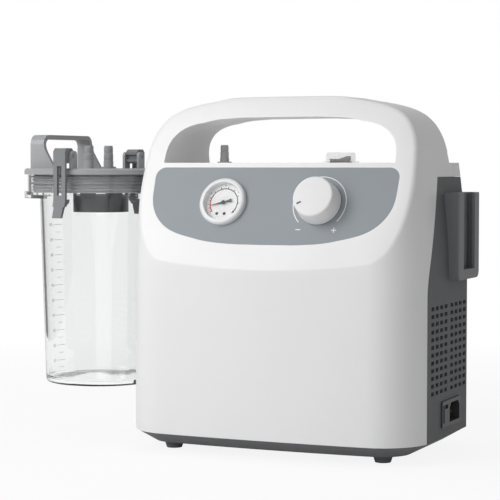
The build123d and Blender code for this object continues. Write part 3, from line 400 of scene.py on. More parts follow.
def pick(*pieces: bpy.types.Object) -> None:
    """Leave edit mode and select only these objects.

    Args:
        *pieces: The objects, of which the first becomes the active one.
    """
    if bpy.context.object and bpy.context.object.mode != "OBJECT":
        bpy.ops.object.mode_set(mode="OBJECT")
    bpy.ops.object.select_all(action="DESELECT")
    for piece in pieces:
        piece.select_set(True)
    bpy.context.view_layer.objects.active = pieces[0] if pieces else None


@contextmanager
def editing(piece: bpy.types.Object) -> Iterator[bmesh.types.BMesh]:
    """Open a piece in edit mode with nothing selected.

    Args:
        piece: The mesh object.

    Yields:
        Its mesh, for choosing vertices, edges and faces by place.
    """
    pick(piece)
    bpy.ops.object.mode_set(mode="EDIT")
    bpy.ops.mesh.select_all(action="DESELECT")
    yield bmesh.from_edit_mesh(piece.data)
    bpy.ops.object.mode_set(mode="OBJECT")


def choose(piece: bpy.types.Object, items: Sequence, test: Callable) -> None:
    """Select the vertices, edges or faces that pass a test.

    Args:
        piece: The object in edit mode.
        items: Its vertices, edges or faces.
        test: Returns true for those to select.
    """
    for item in items:
        if test(item):
            item.select_set(True)
    bmesh.update_edit_mesh(piece.data)


def apply(piece: bpy.types.Object, kind: str, **settings: object) -> None:
    """Add a modifier, set it and apply it.

    Args:
        piece: The mesh object.
        kind: Blender's name of the modifier type.
        **settings: Its settings.
    """
    pick(piece)
    modifier = piece.modifiers.new(kind.lower(), kind)
    for key, value in settings.items():
        setattr(modifier, key, value)
    bpy.ops.object.modifier_apply(modifier=modifier.name)


def settle(piece: bpy.types.Object, matrix: Matrix | None = None) -> bpy.types.Object:
    """Put a piece in place and write its place into its mesh.

    Args:
        piece: The mesh object.
        matrix: Where it goes from where it is; without it the piece stays.

    Returns:
        The piece, at the origin and unturned.
    """
    if matrix is not None:
        piece.matrix_world = matrix @ piece.matrix_world
        bpy.context.view_layer.update()
    pick(piece)
    bpy.ops.object.transform_apply(location=True, rotation=True, scale=True)
    return piece


def joined(name: str, pieces: Sequence[bpy.types.Object]) -> bpy.types.Object:
    """Join pieces into one object with a name.

    Args:
        name: Name of the object and its mesh.
        pieces: The pieces, of which the first takes up the others.

    Returns:
        The joined object.
    """
    pick(*pieces)
    if len(pieces) > 1:
        bpy.ops.object.join()
    made = bpy.context.object
    made.name = name
    made.data.name = name
    return made


def dress(piece: bpy.types.Object, finish: Finish) -> bpy.types.Object:
    """Give a piece one finish all over."""
    piece.data.materials.clear()
    piece.data.materials.append(finish.material())
    return piece


@dataclass
class Carried:
    """A solid that the scene shows: as it is, or as a merged copy with smooth shading."""

    node: str
    finish: Finish
    smooth: float = 30.0

    def keep(self) -> bpy.types.Object:
        """Give the solid itself the finish and leave its mesh alone."""
        piece = dress(frame["nodes"][self.node], self.finish)
        log.info("kept %s", self.node)
        return piece

    def copy(self, name: str) -> bpy.types.Object:
        """Copy the solid as one closed mesh, to be shaped further.

        Args:
            name: Name of the copy.

        Returns:
            The copy, not yet riding on a body.
        """
        source = frame["nodes"][self.node]
        piece = bpy.data.objects.new(name, source.data.copy())
        piece.data.name = name
        bpy.context.scene.collection.objects.link(piece)
        pick(piece)
        bpy.ops.mesh.customdata_custom_splitnormals_clear()
        with editing(piece):
            bpy.ops.mesh.select_all(action="SELECT")
            bpy.ops.mesh.remove_doubles(threshold=MERGE)
        dress(piece, self.finish)
        pick(piece)
        bpy.ops.object.shade_smooth_by_angle(angle=radians(self.smooth))
        return piece

    def stand_in(self, name: str) -> bpy.types.Object:
        """Copy the solid, let the copy ride on its body and stand for it."""
        return seated(self.copy(name), self.node, self.node)


def seated(piece: bpy.types.Object, node: str, *replaced: str) -> bpy.types.Object:
    """Let a piece ride with a node's body and stand for nodes.

    Args:
        piece: The finished piece.
        node: The node whose body it shares.
        *replaced: The nodes that it stands for.

    Returns:
        The piece.
    """
    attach(piece, NODE_BODY[node])
    if replaced:
        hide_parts(*replaced)
    log.info("built %s", piece.name)
    return piece


def turned(name: str, outline: Sequence[tuple[float, float]], axis: tuple[float, float]) -> bpy.types.Object:
    """Make a closed ring by drawing a circle out along an outline.

    Args:
        name: Name of the piece.
        outline: Radius and height of each point in millimetres; the last point is the first again.
        axis: Where the upright axis stands, x and y.

    Returns:
        The ring.
    """
    radius, height = outline[0]
    centre = (*axis, 0.0)
    corners = 120
    pick()
    bpy.ops.mesh.primitive_circle_add(vertices=corners, radius=radius * MM, location=(*axis, height * MM))
    piece = bpy.context.object
    piece.name = piece.data.name = name
    settle(piece)
    with editing(piece):
        bpy.ops.mesh.select_all(action="SELECT")
        for next_radius, next_height in outline[1:]:
            shift = (0, 0, (next_height - height) * MM)
            bpy.ops.mesh.extrude_edges_move(TRANSFORM_OT_translate={"value": shift})
            share = next_radius / radius
            bpy.ops.transform.resize(value=(share, share, 1), center_override=centre)
            radius, height = next_radius, next_height
        bpy.ops.mesh.select_all(action="SELECT")
        bpy.ops.mesh.remove_doubles(threshold=MERGE / 10)
        bpy.ops.mesh.normals_make_consistent(inside=False)
    return piece


# Printing

DIGIT_SHARE = 0.7  # Height of a digit as a share of the font's size
TRIANGLE_SIDE = 1.732  # Side of an even triangle in a circle of radius 1


def flat_normals_up(piece: bpy.types.Object) -> None:
    """Turn the faces of a flat sheet so that they look along +z.

    Args:
        piece: The sheet in the xy plane.
    """
    with editing(piece) as mesh:
        choose(piece, mesh.faces, lambda face: face.normal.z < 0)
        bpy.ops.mesh.flip_normals()


def arc_band(radius: float, width: float, start: float, end: float) -> bpy.types.Object:
    """Make a flat band along a circle.

    Args:
        radius: Radius of its middle line in metres.
        width: Width of the band in metres.
        start: Angle where it starts, in degrees from +x towards +y.
        end: Angle where it ends, larger than start.

    Returns:
        The band in the xy plane.
    """
    pick()
    bpy.ops.mesh.primitive_plane_add(size=width, location=(radius, width / 2, 0))
    band = settle(bpy.context.object)
    with editing(band) as mesh:
        choose(band, mesh.verts, lambda v: v.co.y > width / 2)
        bpy.ops.mesh.delete(type="VERT")
        bpy.ops.mesh.select_all(action="SELECT")
        bpy.ops.mesh.spin(steps=max(4, int((end - start) / 3)), angle=radians(start - end), center=(0, 0, 0),
                          axis=(0, 0, 1))
    settle(band, Matrix.Rotation(radians(start), 4, "Z"))
    flat_normals_up(band)
    return band


def bar(
    length: float, width: float, middle: Sequence[float], turn: float = 0.0, parts: int = 1
) -> bpy.types.Object:
    """Make a flat bar.

    Args:
        length: Length in metres.
        width: Width in metres.
        middle: Its middle, x and y.
        turn: Angle of its length, in degrees.
        parts: Into how many parts it is cut along its length.

    Returns:
        The bar in the xy plane.
    """
    pick()
    bpy.ops.mesh.primitive_plane_add(size=1)
    made = bpy.context.object
    made.scale = (length, width, 1)
    settle(made)
    if parts > 1:
        with editing(made) as mesh:
            choose(made, mesh.edges, lambda e: abs(e.verts[0].co.y - e.verts[1].co.y) < 1e-9)
            bpy.ops.mesh.subdivide(number_cuts=parts - 1)
    place = Matrix.Translation((middle[0], middle[1], 0)) @ Matrix.Rotation(radians(turn), 4, "Z")
    return settle(made, place)


def dot(radius: float, middle: Sequence[float]) -> bpy.types.Object:
    """Make a flat round spot.

    Args:
        radius: Radius in metres.
        middle: Its middle, x and y.

    Returns:
        The spot in the xy plane.
    """
    pick()
    place = (middle[0], middle[1], 0)
    bpy.ops.mesh.primitive_circle_add(vertices=32, radius=radius, fill_type="NGON", location=place)
    return settle(bpy.context.object)


def wedge(tip: Sequence[float], length: float, width: float, turn: float) -> bpy.types.Object:
    """Make a flat arrow head.

    Args:
        tip: Where its tip is, x and y.
        length: Length in metres.
        width: Width of its base in metres.
        turn: Angle that it points along, in degrees.

    Returns:
        The arrow head in the xy plane.
    """
    pick()
    bpy.ops.mesh.primitive_circle_add(vertices=3, radius=1, fill_type="NGON")
    made = bpy.context.object
    with editing(made) as mesh:
        lowest = min(v.co.y for v in mesh.verts)
        choose(made, mesh.verts, lambda v: True)
        bpy.ops.transform.translate(value=(0, -1, 0))
        stretch = (width / TRIANGLE_SIDE, length / (1 - lowest), 1)
        bpy.ops.transform.resize(value=stretch, center_override=(0, 0, 0))
    place = Matrix.Translation((tip[0], tip[1], 0)) @ Matrix.Rotation(radians(turn - 90), 4, "Z")
    return settle(made, place)


def lettering(text: str, height: float, middle: Sequence[float], turn: float = 0.0) -> bpy.types.Object:
    """Set plain numbers or a sign as a flat mesh.

    Args:
        text: The characters.
        height: Height of a digit in metres.
        middle: Where their middle goes, x and y.
        turn: Angle of the line, in degrees.

    Returns:
        The flat mesh in the xy plane.
    """
    pick()
    bpy.ops.object.text_add()
    made = bpy.context.object
    made.data.body = text
    made.data.size = height / DIGIT_SHARE
    made.data.align_x = "CENTER"
    made.data.align_y = "CENTER"
    made.data.resolution_u = 4
    bpy.ops.object.convert(target="MESH")
    place = Matrix.Translation((middle[0], middle[1], 0)) @ Matrix.Rotation(radians(turn), 4, "Z")
    return settle(bpy.context.object, place)


def printed(name: str, marks: Sequence[bpy.types.Object], place: Matrix, finish: Finish) -> bpy.types.Object:
    """Join flat marks, give them the thickness of ink and put them in place.

    Args:
        name: Name of the printing.
        marks: The marks in the xy plane.
        place: Where that plane goes.
        finish: The ink.

    Returns:
        The printing, not yet riding on a body.
    """
    sheet = joined(name, marks)
    apply(sheet, "SOLIDIFY", thickness=INK, offset=1.0)
    settle(sheet, place)
    return dress(sheet, finish)


# Sub-assemblies


@dataclass
class TiltedFront:
    """The tilted front that carries gauge, knob and panel, as a plane to work on."""

    lean: float = 0.40
    ridge_y: float = -44.0 * MM
    ridge_z: float = 243.0 * MM
    shift_x: float = 74.45 * MM
    shift_y: float = -23.25 * MM

    def place(self, x: float, z: float, proud: float = 0.0) -> Matrix:
        """Return the place on the front at x and z of the housing.

        Args:
            x: Millimetres right of the housing's middle.
            z: Millimetres above the table.
            proud: How far it stands out, in millimetres.

        Returns:
            A matrix whose z looks out of the front and whose y looks up it.
        """
        angle = atan(self.lean)
        out = Vector((0, -cos(angle), sin(angle)))
        up = Vector((0, sin(angle), cos(angle)))
        y = self.ridge_y - (self.ridge_z - z * MM) * self.lean
        origin = Vector((x * MM + self.shift_x, y + self.shift_y, z * MM)) + out * proud * MM
        return Matrix.LocRotScale(origin, Matrix((Vector((1, 0, 0)), up, out)).transposed(), None)


@dataclass(frozen=True)
class PanelEdge:
    """Lower edge of the control panel, as an even curve between two points of the panel's outline."""

    half: float = 60.0
    ends_at: float = -31.0
    lowest: float = -34.7
    power: float = 3.3
    panel_z: float = 208.0
    depth: float = 1.6
    slack: float = 0.1

    def even_out(self, piece: bpy.types.Object, front: TiltedFront) -> None:
        """Move the edge's vertices of a piece onto the even curve.

        Args:
            piece: The panel plate or the shell with its recess.
            front: The tilted front that they lie in.
        """
        place = front.place(0.0, self.panel_z)
        inward = place.inverted()
        with editing(piece) as mesh:
            for vertex in mesh.verts:
                spot = (inward @ vertex.co) / MM
                on_edge = self.lowest - self.slack < spot.y < self.ends_at + self.slack / 2
                if abs(spot.x) < self.half and on_edge and -self.depth < spot.z < self.slack:
                    rise = (abs(spot.x) / self.half) ** self.power
                    spot.y = self.lowest + (self.ends_at - self.lowest) * rise
                    vertex.co = place @ (spot * MM)


@dataclass(frozen=True)
class EvenCurve:
    """Even curve over an arch, whose height falls with a power of the distance from the middle."""

    half: float
    crown: float
    fall: float
    power: float

    def height(self, x: float) -> float:
        """Return the height in millimetres at a distance in millimetres from the middle."""
        return self.crown - self.fall * (abs(x) / self.half) ** self.power


@dataclass(frozen=True)
class Handle:
    """Loop handle of the front shell, with an even curve over the opening for the hand."""

    inside: EvenCurve = EvenCurve(75.0, 281.3, 5.1, 4.85)
    inside_low: float = 275.9
    inside_high: float = 281.05
    rear_lean: float = 0.25
    sill: float = 243.4 * MM
    flat: float = 0.02 * MM

    def shape(self, shell: bpy.types.Object, front: TiltedFront) -> None:
        """Even out the opening's curve.

        Args:
            shell: The copy of the front shell.
            front: The tilted front that the edge lies in.
        """
        inward = front.place(0.0, PanelEdge.panel_z).inverted()

        def in_front(point: Vector) -> bool:
            """Return whether a point lies in the tilted front, above the box."""
            return abs((inward @ point).z) < self.flat and point.z > self.sill

        def on_arch(point: Vector) -> bool:
            """Return whether a point lies on the upper part of the opening's wall."""
            near = abs(point.x - front.shift_x) / MM < self.inside.half
            return near and self.inside_low * MM < point.z < self.inside_high * MM

        with editing(shell) as mesh:
            for vertex in mesh.verts:
                if not on_arch(vertex.co):
                    continue
                rise = self.inside.height((vertex.co.x - front.shift_x) / MM) * MM - vertex.co.z
                lean = front.lean if in_front(vertex.co) else -self.rear_lean
                vertex.co += Vector((0, lean * rise, rise))


@dataclass
class Housing:
    """Front and rear shell, side panels, brackets, tray and feet."""

    smooth: float = 28.0
    panel_edge: PanelEdge = PanelEdge()
    handle: Handle = Handle()

    def build(self, front: TiltedFront) -> None:
        """Make every outer part of the housing.

        Args:
            front: The tilted front.
        """
        shell = Carried("front_shell", Finish.SHELL, self.smooth).stand_in("shell_front")
        Carried("rear_shell", Finish.SHELL, self.smooth).stand_in("shell_rear")
        Carried("housing_screws", Finish.STEEL).stand_in("shell_screws")
        for side in ("right", "left"):
            Carried(f"side_panel_{side}", Finish.SIDE, self.smooth).stand_in(f"side_{side}")
            Carried(f"jar_bracket_{side}", Finish.BRACKET, self.smooth).stand_in(f"bracket_{side}")
        Carried("base_tray", Finish.TRAY, self.smooth).stand_in("tray")
        Carried("rubber_feet", Finish.RUBBER).stand_in("feet")
        plate = Carried("control_panel", Finish.PANEL).stand_in("panel_plate")
        for piece in (shell, plate):
            self.panel_edge.even_out(piece, front)
        self.handle.shape(shell, front)


@dataclass
class Gauge:
    """Vacuum gauge on the tilted front."""

    x: float = -42.0
    z: float = 210.0
    dial_height: float = -0.78
    arc_radius: float = 12.4 * MM
    arc_width: float = 0.8 * MM
    arc_start: float = -48.5
    arc_end: float = 220.0
    arrow_gap: float = 6.0
    arrow_length: float = 2.6 * MM
    arrow_width: float = 2.4 * MM
    red_start: float = 163.0
    red_ticks: int = 4
    red_tick_first: float = 8.0
    red_tick_step: float = 15.0
    black_ticks: int = 8
    scale_gap: float = 20.0
    digit_lag: float = 16.0
    tick_width: float = 0.6 * MM
    black_tick: float = 1.9 * MM
    red_tick: float = 1.8 * MM
    digit_height: float = 1.25 * MM
    digit_reach: float = 2.9 * MM
    dot_radius: float = 1.35 * MM
    dots_x: tuple[float, float] = (-4.9 * MM, 1.9 * MM)
    dots_y: float = -9.6 * MM

    def build(self, front: TiltedFront) -> None:
        """Make the gauge and print its dial.

        Args:
            front: The tilted front that it sits on.
        """
        Carried("gauge_bezel", Finish.BEZEL, 35).stand_in("gauge_ring")
        Carried("gauge_window", Finish.WINDOW).stand_in("gauge_glass")
        Carried("gauge_dial", Finish.DIAL).stand_in("gauge_face")
        Carried("gauge_needle", Finish.NEEDLE).stand_in("gauge_pointer")
        Carried("gauge_case", Finish.STEEL).stand_in("gauge_cup")
        Carried("gauge_movement", Finish.BRASS).keep()
        place = front.place(self.x, self.z, self.dial_height)
        seated(printed("dial_black_print", self.black_marks(), place, Finish.INK_BLACK), "gauge_dial")
        seated(printed("dial_red_print", self.red_marks(), place, Finish.INK_RED), "gauge_dial")

    def spoke(self, angle: float, inner: float, outer: float, width: float) -> bpy.types.Object:
        """Return one tick between two radii.

        Args:
            angle: Where it stands about the dial's middle, in degrees.
            inner: Radius where it starts, in metres.
            outer: Radius where it ends.
            width: Its width.

        Returns:
            The tick in the dial's plane.
        """
        middle = (inner + outer) / 2
        where = (middle * cos(radians(angle)), middle * sin(radians(angle)))
        return bar(outer - inner, width, where, angle)

    def black_marks(self) -> list[bpy.types.Object]:
        """Return the black arc with its arrow, ticks, numbers and dots."""
        radius = self.arc_radius
        marks = [arc_band(radius, self.arc_width, self.arc_start + self.arrow_gap, self.red_start)]
        tip = (radius * cos(radians(self.arc_start)), radius * sin(radians(self.arc_start)))
        marks.append(wedge(tip, self.arrow_length, self.arrow_width, self.arc_start - 90))
        step = (self.red_start - self.arc_start - self.scale_gap) / (self.black_ticks - 1)
        for index in range(self.black_ticks):
            angle = self.red_start - index * step
            marks.append(self.spoke(angle, radius, radius + self.black_tick, self.tick_width))
        for index, text in enumerate(("20", "40", "60", "80")):
            angle = radians(self.red_start - self.digit_lag - index * 2 * step)
            where = (cos(angle) * (radius + self.digit_reach), sin(angle) * (radius + self.digit_reach))
            marks.append(lettering(text, self.digit_height, where))
        marks += [dot(self.dot_radius, (x, self.dots_y)) for x in self.dots_x]
        return marks

    def red_marks(self) -> list[bpy.types.Object]:
        """Return the red zone with its ticks."""
        radius = self.arc_radius
        marks = [arc_band(radius, self.arc_width * 1.3, self.red_start, self.arc_end)]
        for index in range(self.red_ticks):
            angle = self.red_start + self.red_tick_first + index * self.red_tick_step
            marks.append(self.spoke(angle, radius, radius + self.red_tick, self.tick_width))
        return marks


@dataclass
class Regulator:
    """Regulator knob on the tilted front, with the printing round it."""

    x: float = 44.0
    z: float = 210.0
    knob_depth: float = 17.0
    mark_angle: float = 208.0
    mark_radius: float = 12.5
    mark_length: float = 3.9
    mark_width: float = 1.5
    mark_thickness: float = 0.24
    mark_sink: float = 0.29
    ring_radius: float = 23.0
    ring_width: float = 0.8
    ring_start: float = -42.0
    ring_end: float = 226.0
    sign_x: float = 15.6
    sign_y: float = -23.0
    sign_length: float = 4.4
    arm_length: float = 1.8
    arm_offset: float = 1.3

    def build(self, front: TiltedFront) -> None:
        """Make the knob, its mark and the printed ring.

        Args:
            front: The tilted front that it sits on.
        """
        Carried("regulator_knob", Finish.KNOB, 35).stand_in("knob")
        Carried("regulator_spindle", Finish.BRASS).keep()
        Carried("regulator_body", Finish.ALUMINIUM).keep()
        Carried("regulator_nut", Finish.BRASS).keep()
        seated(self.mark(front), "regulator_knob")
        place = front.place(self.x, self.z, 0.01)
        seated(printed("panel_print", self.marks(), place, Finish.INK_WHITE), "control_panel")

    def mark(self, front: TiltedFront) -> bpy.types.Object:
        """Make the dark inlay in the knob's groove.

        Args:
            front: The tilted front that the knob sits on.

        Returns:
            The inlay, in place.
        """
        where = radians(self.mark_angle)
        middle = (self.mark_radius * MM * cos(where), self.mark_radius * MM * sin(where))
        strip = bar(self.mark_length * MM, self.mark_width * MM, middle, self.mark_angle)
        inlay = joined("knob_mark", [strip])
        apply(inlay, "SOLIDIFY", thickness=self.mark_thickness * MM, offset=1.0)
        settle(inlay, front.place(self.x, self.z, self.knob_depth - self.mark_sink))
        return dress(inlay, Finish.BLACK)

    def marks(self) -> list[bpy.types.Object]:
        """Return the ring, the minus and the plus."""
        line = self.ring_width * MM
        x, y = self.sign_x * MM, self.sign_y * MM
        offset = self.arm_offset * MM
        marks = [arc_band(self.ring_radius * MM, line, self.ring_start, self.ring_end)]
        marks += [bar(self.sign_length * MM, line, (sign, y)) for sign in (-x, x)]
        marks += [bar(self.arm_length * MM, line, (x, arm), 90) for arm in (y + offset, y - offset)]
        return marks


@dataclass
class TopFittings:
    """Hose barb and covered switch on the box top, with what is under them."""

    smooth: float = 35.0

    def build(self) -> None:
        """Make the fittings."""
        Carried("hose_barb", Finish.BARB, self.smooth).stand_in("top_hose_barb")
        Carried("barb_nut", Finish.BRASS).keep()
        Carried("manifold", Finish.BRASS).keep()
        Carried("switch_body", Finish.BLACK).stand_in("switch_base")
        Carried("switch_rocker", Finish.BLACK).stand_in("rocker")
        Carried("switch_cover", Finish.COVER, self.smooth).stand_in("switch_splash_cover")


@dataclass
class PowerInlet:
    """Power inlet low on the right side, with its drawer."""

    def build(self) -> None:
        """Make the inlet."""
        Carried("inlet_body", Finish.BLACK).stand_in("inlet")
        Carried("inlet_pins", Finish.BRASS).stand_in("inlet_contacts")
        Carried("fuse_drawer", Finish.BLACK).stand_in("drawer")
        Carried("fuses", Finish.CLEAR).keep()


@dataclass(frozen=True)
class Rib:
    """One rounded rib of the gasket: its height, its outer radius and half its width, in millimetres."""

    z: float
    reach: float
    half: float
    rounding: float = 0.25
    shoulder: float = 0.6
    foot: float = 1.5

    def outline(self, base: float) -> list[tuple[float, float]]:
        """Return its outline from below to above.

        Args:
            base: Radius of the sleeve that it stands on, in millimetres.

        Returns:
            Radius and height of each point, in millimetres.
        """
        edge = self.reach - (self.reach - base) * self.rounding
        shoulder, foot = self.half * self.shoulder, self.half * self.foot
        return [
            (base, self.z - foot),
            (edge, self.z - shoulder),
            (self.reach, self.z),
            (edge, self.z + shoulder),
            (base, self.z + foot),
        ]


@dataclass
class Gasket:
    """Ribbed rubber sleeve on the plug of the lid, with two wide sealing fins."""

    axis: tuple[float, float]
    inner: float = 59.0
    sleeve: float = 61.5
    low: float = 216.0
    high: float = 232.5
    ribs: tuple[Rib, ...] = (
        Rib(218.4, 62.9, 0.9),
        Rib(221.2, 62.9, 0.9),
        Rib(224.4, 64.4, 0.8),
        Rib(227.6, 62.9, 0.9),
        Rib(230.4, 64.4, 0.8),
    )

    def build(self) -> bpy.types.Object:
        """Turn the sleeve about the jar's axis and let it stand for the solid."""
        outline = [(self.sleeve, self.low)]
        for rib in self.ribs:
            outline += rib.outline(self.sleeve)
        outline += [(self.sleeve, self.high), (self.inner, self.high), (self.inner, self.low), outline[0]]
        piece = turned("gasket", outline, self.axis)
        dress(piece, Finish.GASKET)
        pick(piece)
        bpy.ops.object.shade_smooth_by_angle(angle=radians(50))
        return seated(piece, "lid_gasket", "lid_gasket")


@dataclass
class Jar:
    """Collection jar with its scale, lid, ports, clips and float."""

    axis_x: float = -139.55 * MM
    axis_y: float = 20.75 * MM
    low_z: float = 41.5 * MM
    low_radius: float = 51.0 * MM
    top_z: float = 211.0 * MM
    top_radius: float = 56.0 * MM
    first_mark: float = 57.3 * MM
    mark_step: float = 14.19 * MM
    steps: int = 10
    long_angle: float = 170.1
    long_mark: float = 12.5 * MM
    short_angle: float = 169.0
    short_mark: float = 7.2 * MM
    digit_angle: float = 182.3
    digit_height: float = 2.9 * MM
    line: float = 0.3 * MM
    ink: float = 0.05 * MM
    smooth: float = 35.0

    def build(self) -> None:
        """Make the jar and all that hangs on it."""
        glass = Carried("jar_body", Finish.CLEAR, self.smooth).stand_in("jar")
        self.scale(glass)
        Carried("jar_lid", Finish.LID).stand_in("lid")
        Gasket((self.axis_x, self.axis_y)).build()
        Carried("patient_port", Finish.LID, self.smooth).stand_in("front_port")
        Carried("vacuum_port", Finish.LID, self.smooth).stand_in("rear_port")
        Carried("float_cup", Finish.CUP, self.smooth).stand_in("cup")
        Carried("float_valve", Finish.DIAL, self.smooth).stand_in("ball_float")
        Carried("clip_front", Finish.CLIP).stand_in("front_catch")
        Carried("clip_rear", Finish.CLIP).stand_in("rear_catch")
        Carried("clip_pins", Finish.CLIP, self.smooth).stand_in("catch_pins")

    def tangent(self, angle: float, z: float) -> Matrix:
        """Return a place on the jar's wall.

        Args:
            angle: Angle about the jar's axis in degrees.
            z: Height in metres.

        Returns:
            A matrix whose z looks out of the wall and whose y looks up.
        """
        share = (z - self.low_z) / (self.top_z - self.low_z)
        radius = self.low_radius + (self.top_radius - self.low_radius) * share
        out = Vector((cos(radians(angle)), sin(radians(angle)), 0))
        up = Vector((0, 0, 1))
        origin = Vector((self.axis_x, self.axis_y, z)) + out * (radius + 2 * MM)
        return Matrix.LocRotScale(origin, Matrix((up.cross(out), up, out)).transposed(), None)

    def laid(
        self, mark: bpy.types.Object, angle: float, z: float, glass: bpy.types.Object
    ) -> bpy.types.Object:
        """Lay a flat mark on the jar's wall.

        Args:
            mark: The mark in the xy plane.
            angle: Angle about the jar's axis in degrees.
            z: Height in metres.
            glass: The jar.

        Returns:
            The mark, bent to the wall.
        """
        mark.matrix_world = self.tangent(angle, z)
        bpy.context.view_layer.update()
        apply(mark, "SHRINKWRAP", target=glass, wrap_method="PROJECT", use_project_z=True,
              use_negative_direction=True, use_positive_direction=False, offset=0.00002)
        return settle(mark)

    def scale(self, glass: bpy.types.Object) -> None:
        """Print the scale on the wall behind, where the photograph shows it through the jar.

        Args:
            glass: The jar that it is printed on.
        """
        marks = []
        digits = []
        for index in range(self.steps):
            z = self.first_mark + index * self.mark_step
            stroke = bar(self.long_mark, self.line, (0, 0), parts=10)
            marks.append(self.laid(stroke, self.long_angle, z, glass))
            text = lettering(str(100 * (index + 1)), self.digit_height, (0, 0))
            digits.append(self.laid(text, self.digit_angle, z, glass))
            stroke = bar(self.short_mark, self.line, (0, 0), parts=6)
            marks.append(self.laid(stroke, self.short_angle, z - self.mark_step / 2, glass))
        for name, pieces, finish in (
            ("jar_scale_print", marks, Finish.INK_SCALE),
            ("jar_digit_print", digits, Finish.INK_DIGIT),
        ):
            sheet = joined(name, pieces)
            apply(sheet, "SOLIDIFY", thickness=self.ink, offset=1.0)
            seated(dress(sheet, finish), "jar_body")


@dataclass
class Pump:
    """Pump and motor inside the housing."""

    inner: tuple[tuple[str, Finish], ...] = (
        ("mounting_plate", Finish.STEEL),
        ("rubber_mounts", Finish.RUBBER),
        ("motor_can", Finish.STEEL),
        ("motor_magnets", Finish.MAGNET),
        ("motor_cap", Finish.ALUMINIUM),
        ("motor_cradle", Finish.ALUMINIUM),
        ("shaft_bearings", Finish.STEEL),
        ("crankshaft", Finish.STEEL),
        ("cooling_fan", Finish.BLACK),
        ("crankcase", Finish.ALUMINIUM),
        ("connecting_rod", Finish.ALUMINIUM),
        ("diaphragm", Finish.RUBBER),
        ("clamp_disc", Finish.STEEL),
        ("valve_plate", Finish.ALUMINIUM),
        ("valve_flaps", Finish.STEEL),
        ("pump_head", Finish.ALUMINIUM),
        ("head_screws", Finish.STEEL),
        ("silencer", Finish.BLACK),
        ("inner_tubes", Finish.TUBE),
    )

    def build(self) -> None:
        """Dress every inner part."""
        for node, finish in self.inner:
            Carried(node, finish).keep()


# Studio


@dataclass
class Softbox:
    """One large soft lamp that looks at a point."""

    name: str
    place: tuple[float, float, float]
    power: float
    width: float
    height: float
    aim: tuple[float, float, float] = (0.05, -0.02, 0.15)

    def build(self) -> None:
        """Hang the lamp."""
        data = bpy.data.lights.new(self.name, "AREA")
        data.shape = "RECTANGLE"
        data.size = self.width
        data.size_y = self.height
        data.energy = self.power
        lamp = bpy.data.objects.new(self.name, data)
        bpy.context.scene.collection.objects.link(lamp)
        lamp.location = self.place
        lamp.rotation_euler = (Vector(self.aim) - Vector(self.place)).to_track_quat("-Z", "Y").to_euler()


@dataclass
class DarkCard:
    """Dark card beside the object, seen only through clear plastic, for dark edges on the jar."""

    name: str
    side: float
    middle_y: float = -0.3
    middle_z: float = 0.5
    height: float = 1.0
    length: float = 1.7

    def build(self) -> None:
        """Stand the card up."""
        pick()
        place = (self.side, self.middle_y, self.middle_z)
        bpy.ops.mesh.primitive_plane_add(size=1, location=place, rotation=(0, radians(90), 0))
        card = bpy.context.object
        card.name = self.name
        card.scale = (self.height, self.length, 1)
        for kind in ("camera", "diffuse", "glossy", "shadow"):
            setattr(card, f"visible_{kind}", False)
        graph = Graph.named(f"{self.name}_paint")
        shade = graph.mixed(graph.noise(0.3), paint(70), paint(80))
        dark = graph.node("ShaderNodeEmission", {"Color": shade, "Strength": 1.0})
        card.data.materials.append(graph.finish(dark))


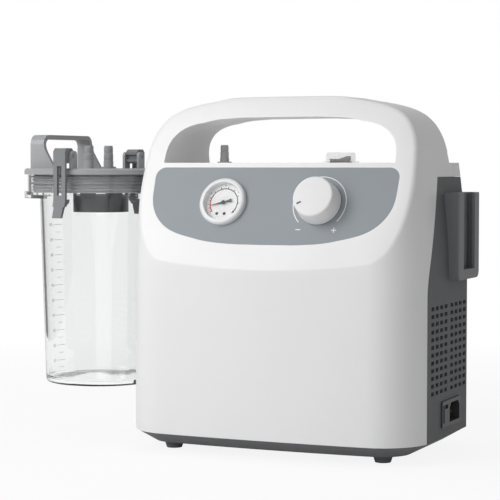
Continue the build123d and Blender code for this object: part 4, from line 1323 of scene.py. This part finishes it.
@dataclass
class Studio:
    """Pale floor, white surroundings, soft lamps, dark cards and the camera."""

    level: float = 0.29
    gloss: float = 0.4
    floor_size: float = 12.0
    floor_glow: float = 0.88
    white_reach: float = 0.8
    card_left: float = -0.8
    card_right: float = 0.9
    camera_place: tuple[float, float, float] = (0.6456, -1.4003, 0.241)
    camera_turn: float = 24.05
    camera_pitch: float = 2.78
    lens: float = 125.9
    sensor: float = 36.0

    def build(self) -> None:
        """Set up everything round the object."""
        self.surroundings()
        self.floor()
        lamps = (
            Softbox("key_lamp", (-0.62, -0.95, 0.78), power=8.6, width=0.7, height=0.8),
            Softbox("top_lamp", (-0.35, 0.2, 1.8), power=3.8, width=1.2, height=1.2),
            Softbox("fill_lamp", (0.75, -1.6, 0.55), power=1.5, width=0.6, height=0.6),
        )
        for lamp in lamps:
            lamp.build()
        DarkCard("card_left", self.card_left).build()
        DarkCard("card_right", self.card_right).build()
        self.camera()

    def seen(self, graph: Graph) -> Amount:
        """Return 1 for rays from the camera and through clear plastic, and less for gloss."""
        gloss = self.gloss * graph.ray("Is Glossy Ray")
        return (graph.ray("Is Camera Ray") + graph.ray("Is Transmission Ray") + gloss).at_most(1.0)

    def surroundings(self) -> None:
        """Light the scene evenly and show white behind it."""
        world = bpy.data.worlds.new("studio_air")
        bpy.context.scene.world = world
        graph = Graph(world)
        strength = self.level + (1.0 - self.level) * self.seen(graph)
        air = graph.node("ShaderNodeBackground", {"Color": (1, 1, 1, 1), "Strength": strength})
        graph.node("ShaderNodeOutputWorld", {0: air.outputs[0]})

    def floor(self) -> None:
        """Lay the floor, which keeps the object's shadow and fades to white."""
        pick()
        bpy.ops.mesh.primitive_plane_add(size=self.floor_size)
        floor = bpy.context.object
        floor.name = "floor"
        graph = Graph.named("floor_paper")
        where = graph.node("ShaderNodeSeparateXYZ", {0: graph.place()})
        x, y = Amount(graph, where.outputs[0]), Amount(graph, where.outputs[1])
        far = ((x * x + y * y) / self.white_reach).at_most(1.0)
        tone = graph.mixed(graph.noise(0.05), paint(246), paint(249))
        paper = graph.node("ShaderNodeBsdfDiffuse", {"Color": tone})
        glow = graph.node("ShaderNodeEmission", {"Color": (1, 1, 1, 1), "Strength": 1.0})
        share = (self.floor_glow + (1.0 - self.floor_glow) * far) * self.seen(graph)
        mixed = graph.node("ShaderNodeMixShader", {0: share, 1: paper.outputs[0], 2: glow.outputs[0]})
        floor.data.materials.append(graph.finish(mixed))

    def camera(self) -> None:
        """Place the camera where the photograph was taken from."""
        data = bpy.data.cameras.new("camera")
        data.lens = self.lens
        data.sensor_width = self.sensor
        eye = bpy.data.objects.new("camera", data)
        bpy.context.scene.collection.objects.link(eye)
        eye.location = self.camera_place
        eye.rotation_euler = (radians(90 - self.camera_pitch), 0, radians(self.camera_turn))
        bpy.context.scene.camera = eye


def main() -> None:
    """Build every sub-assembly in order and set up the studio."""
    logging.basicConfig(level=logging.INFO, format="%(message)s")
    front = TiltedFront()
    Housing().build(front)
    Gauge().build(front)
    Regulator().build(front)
    TopFittings().build()
    PowerInlet().build()
    Jar().build()
    Pump().build()
    Studio().build()
    bpy.context.scene.view_settings.view_transform = "Standard"


if __name__ == "__main__":
    main()
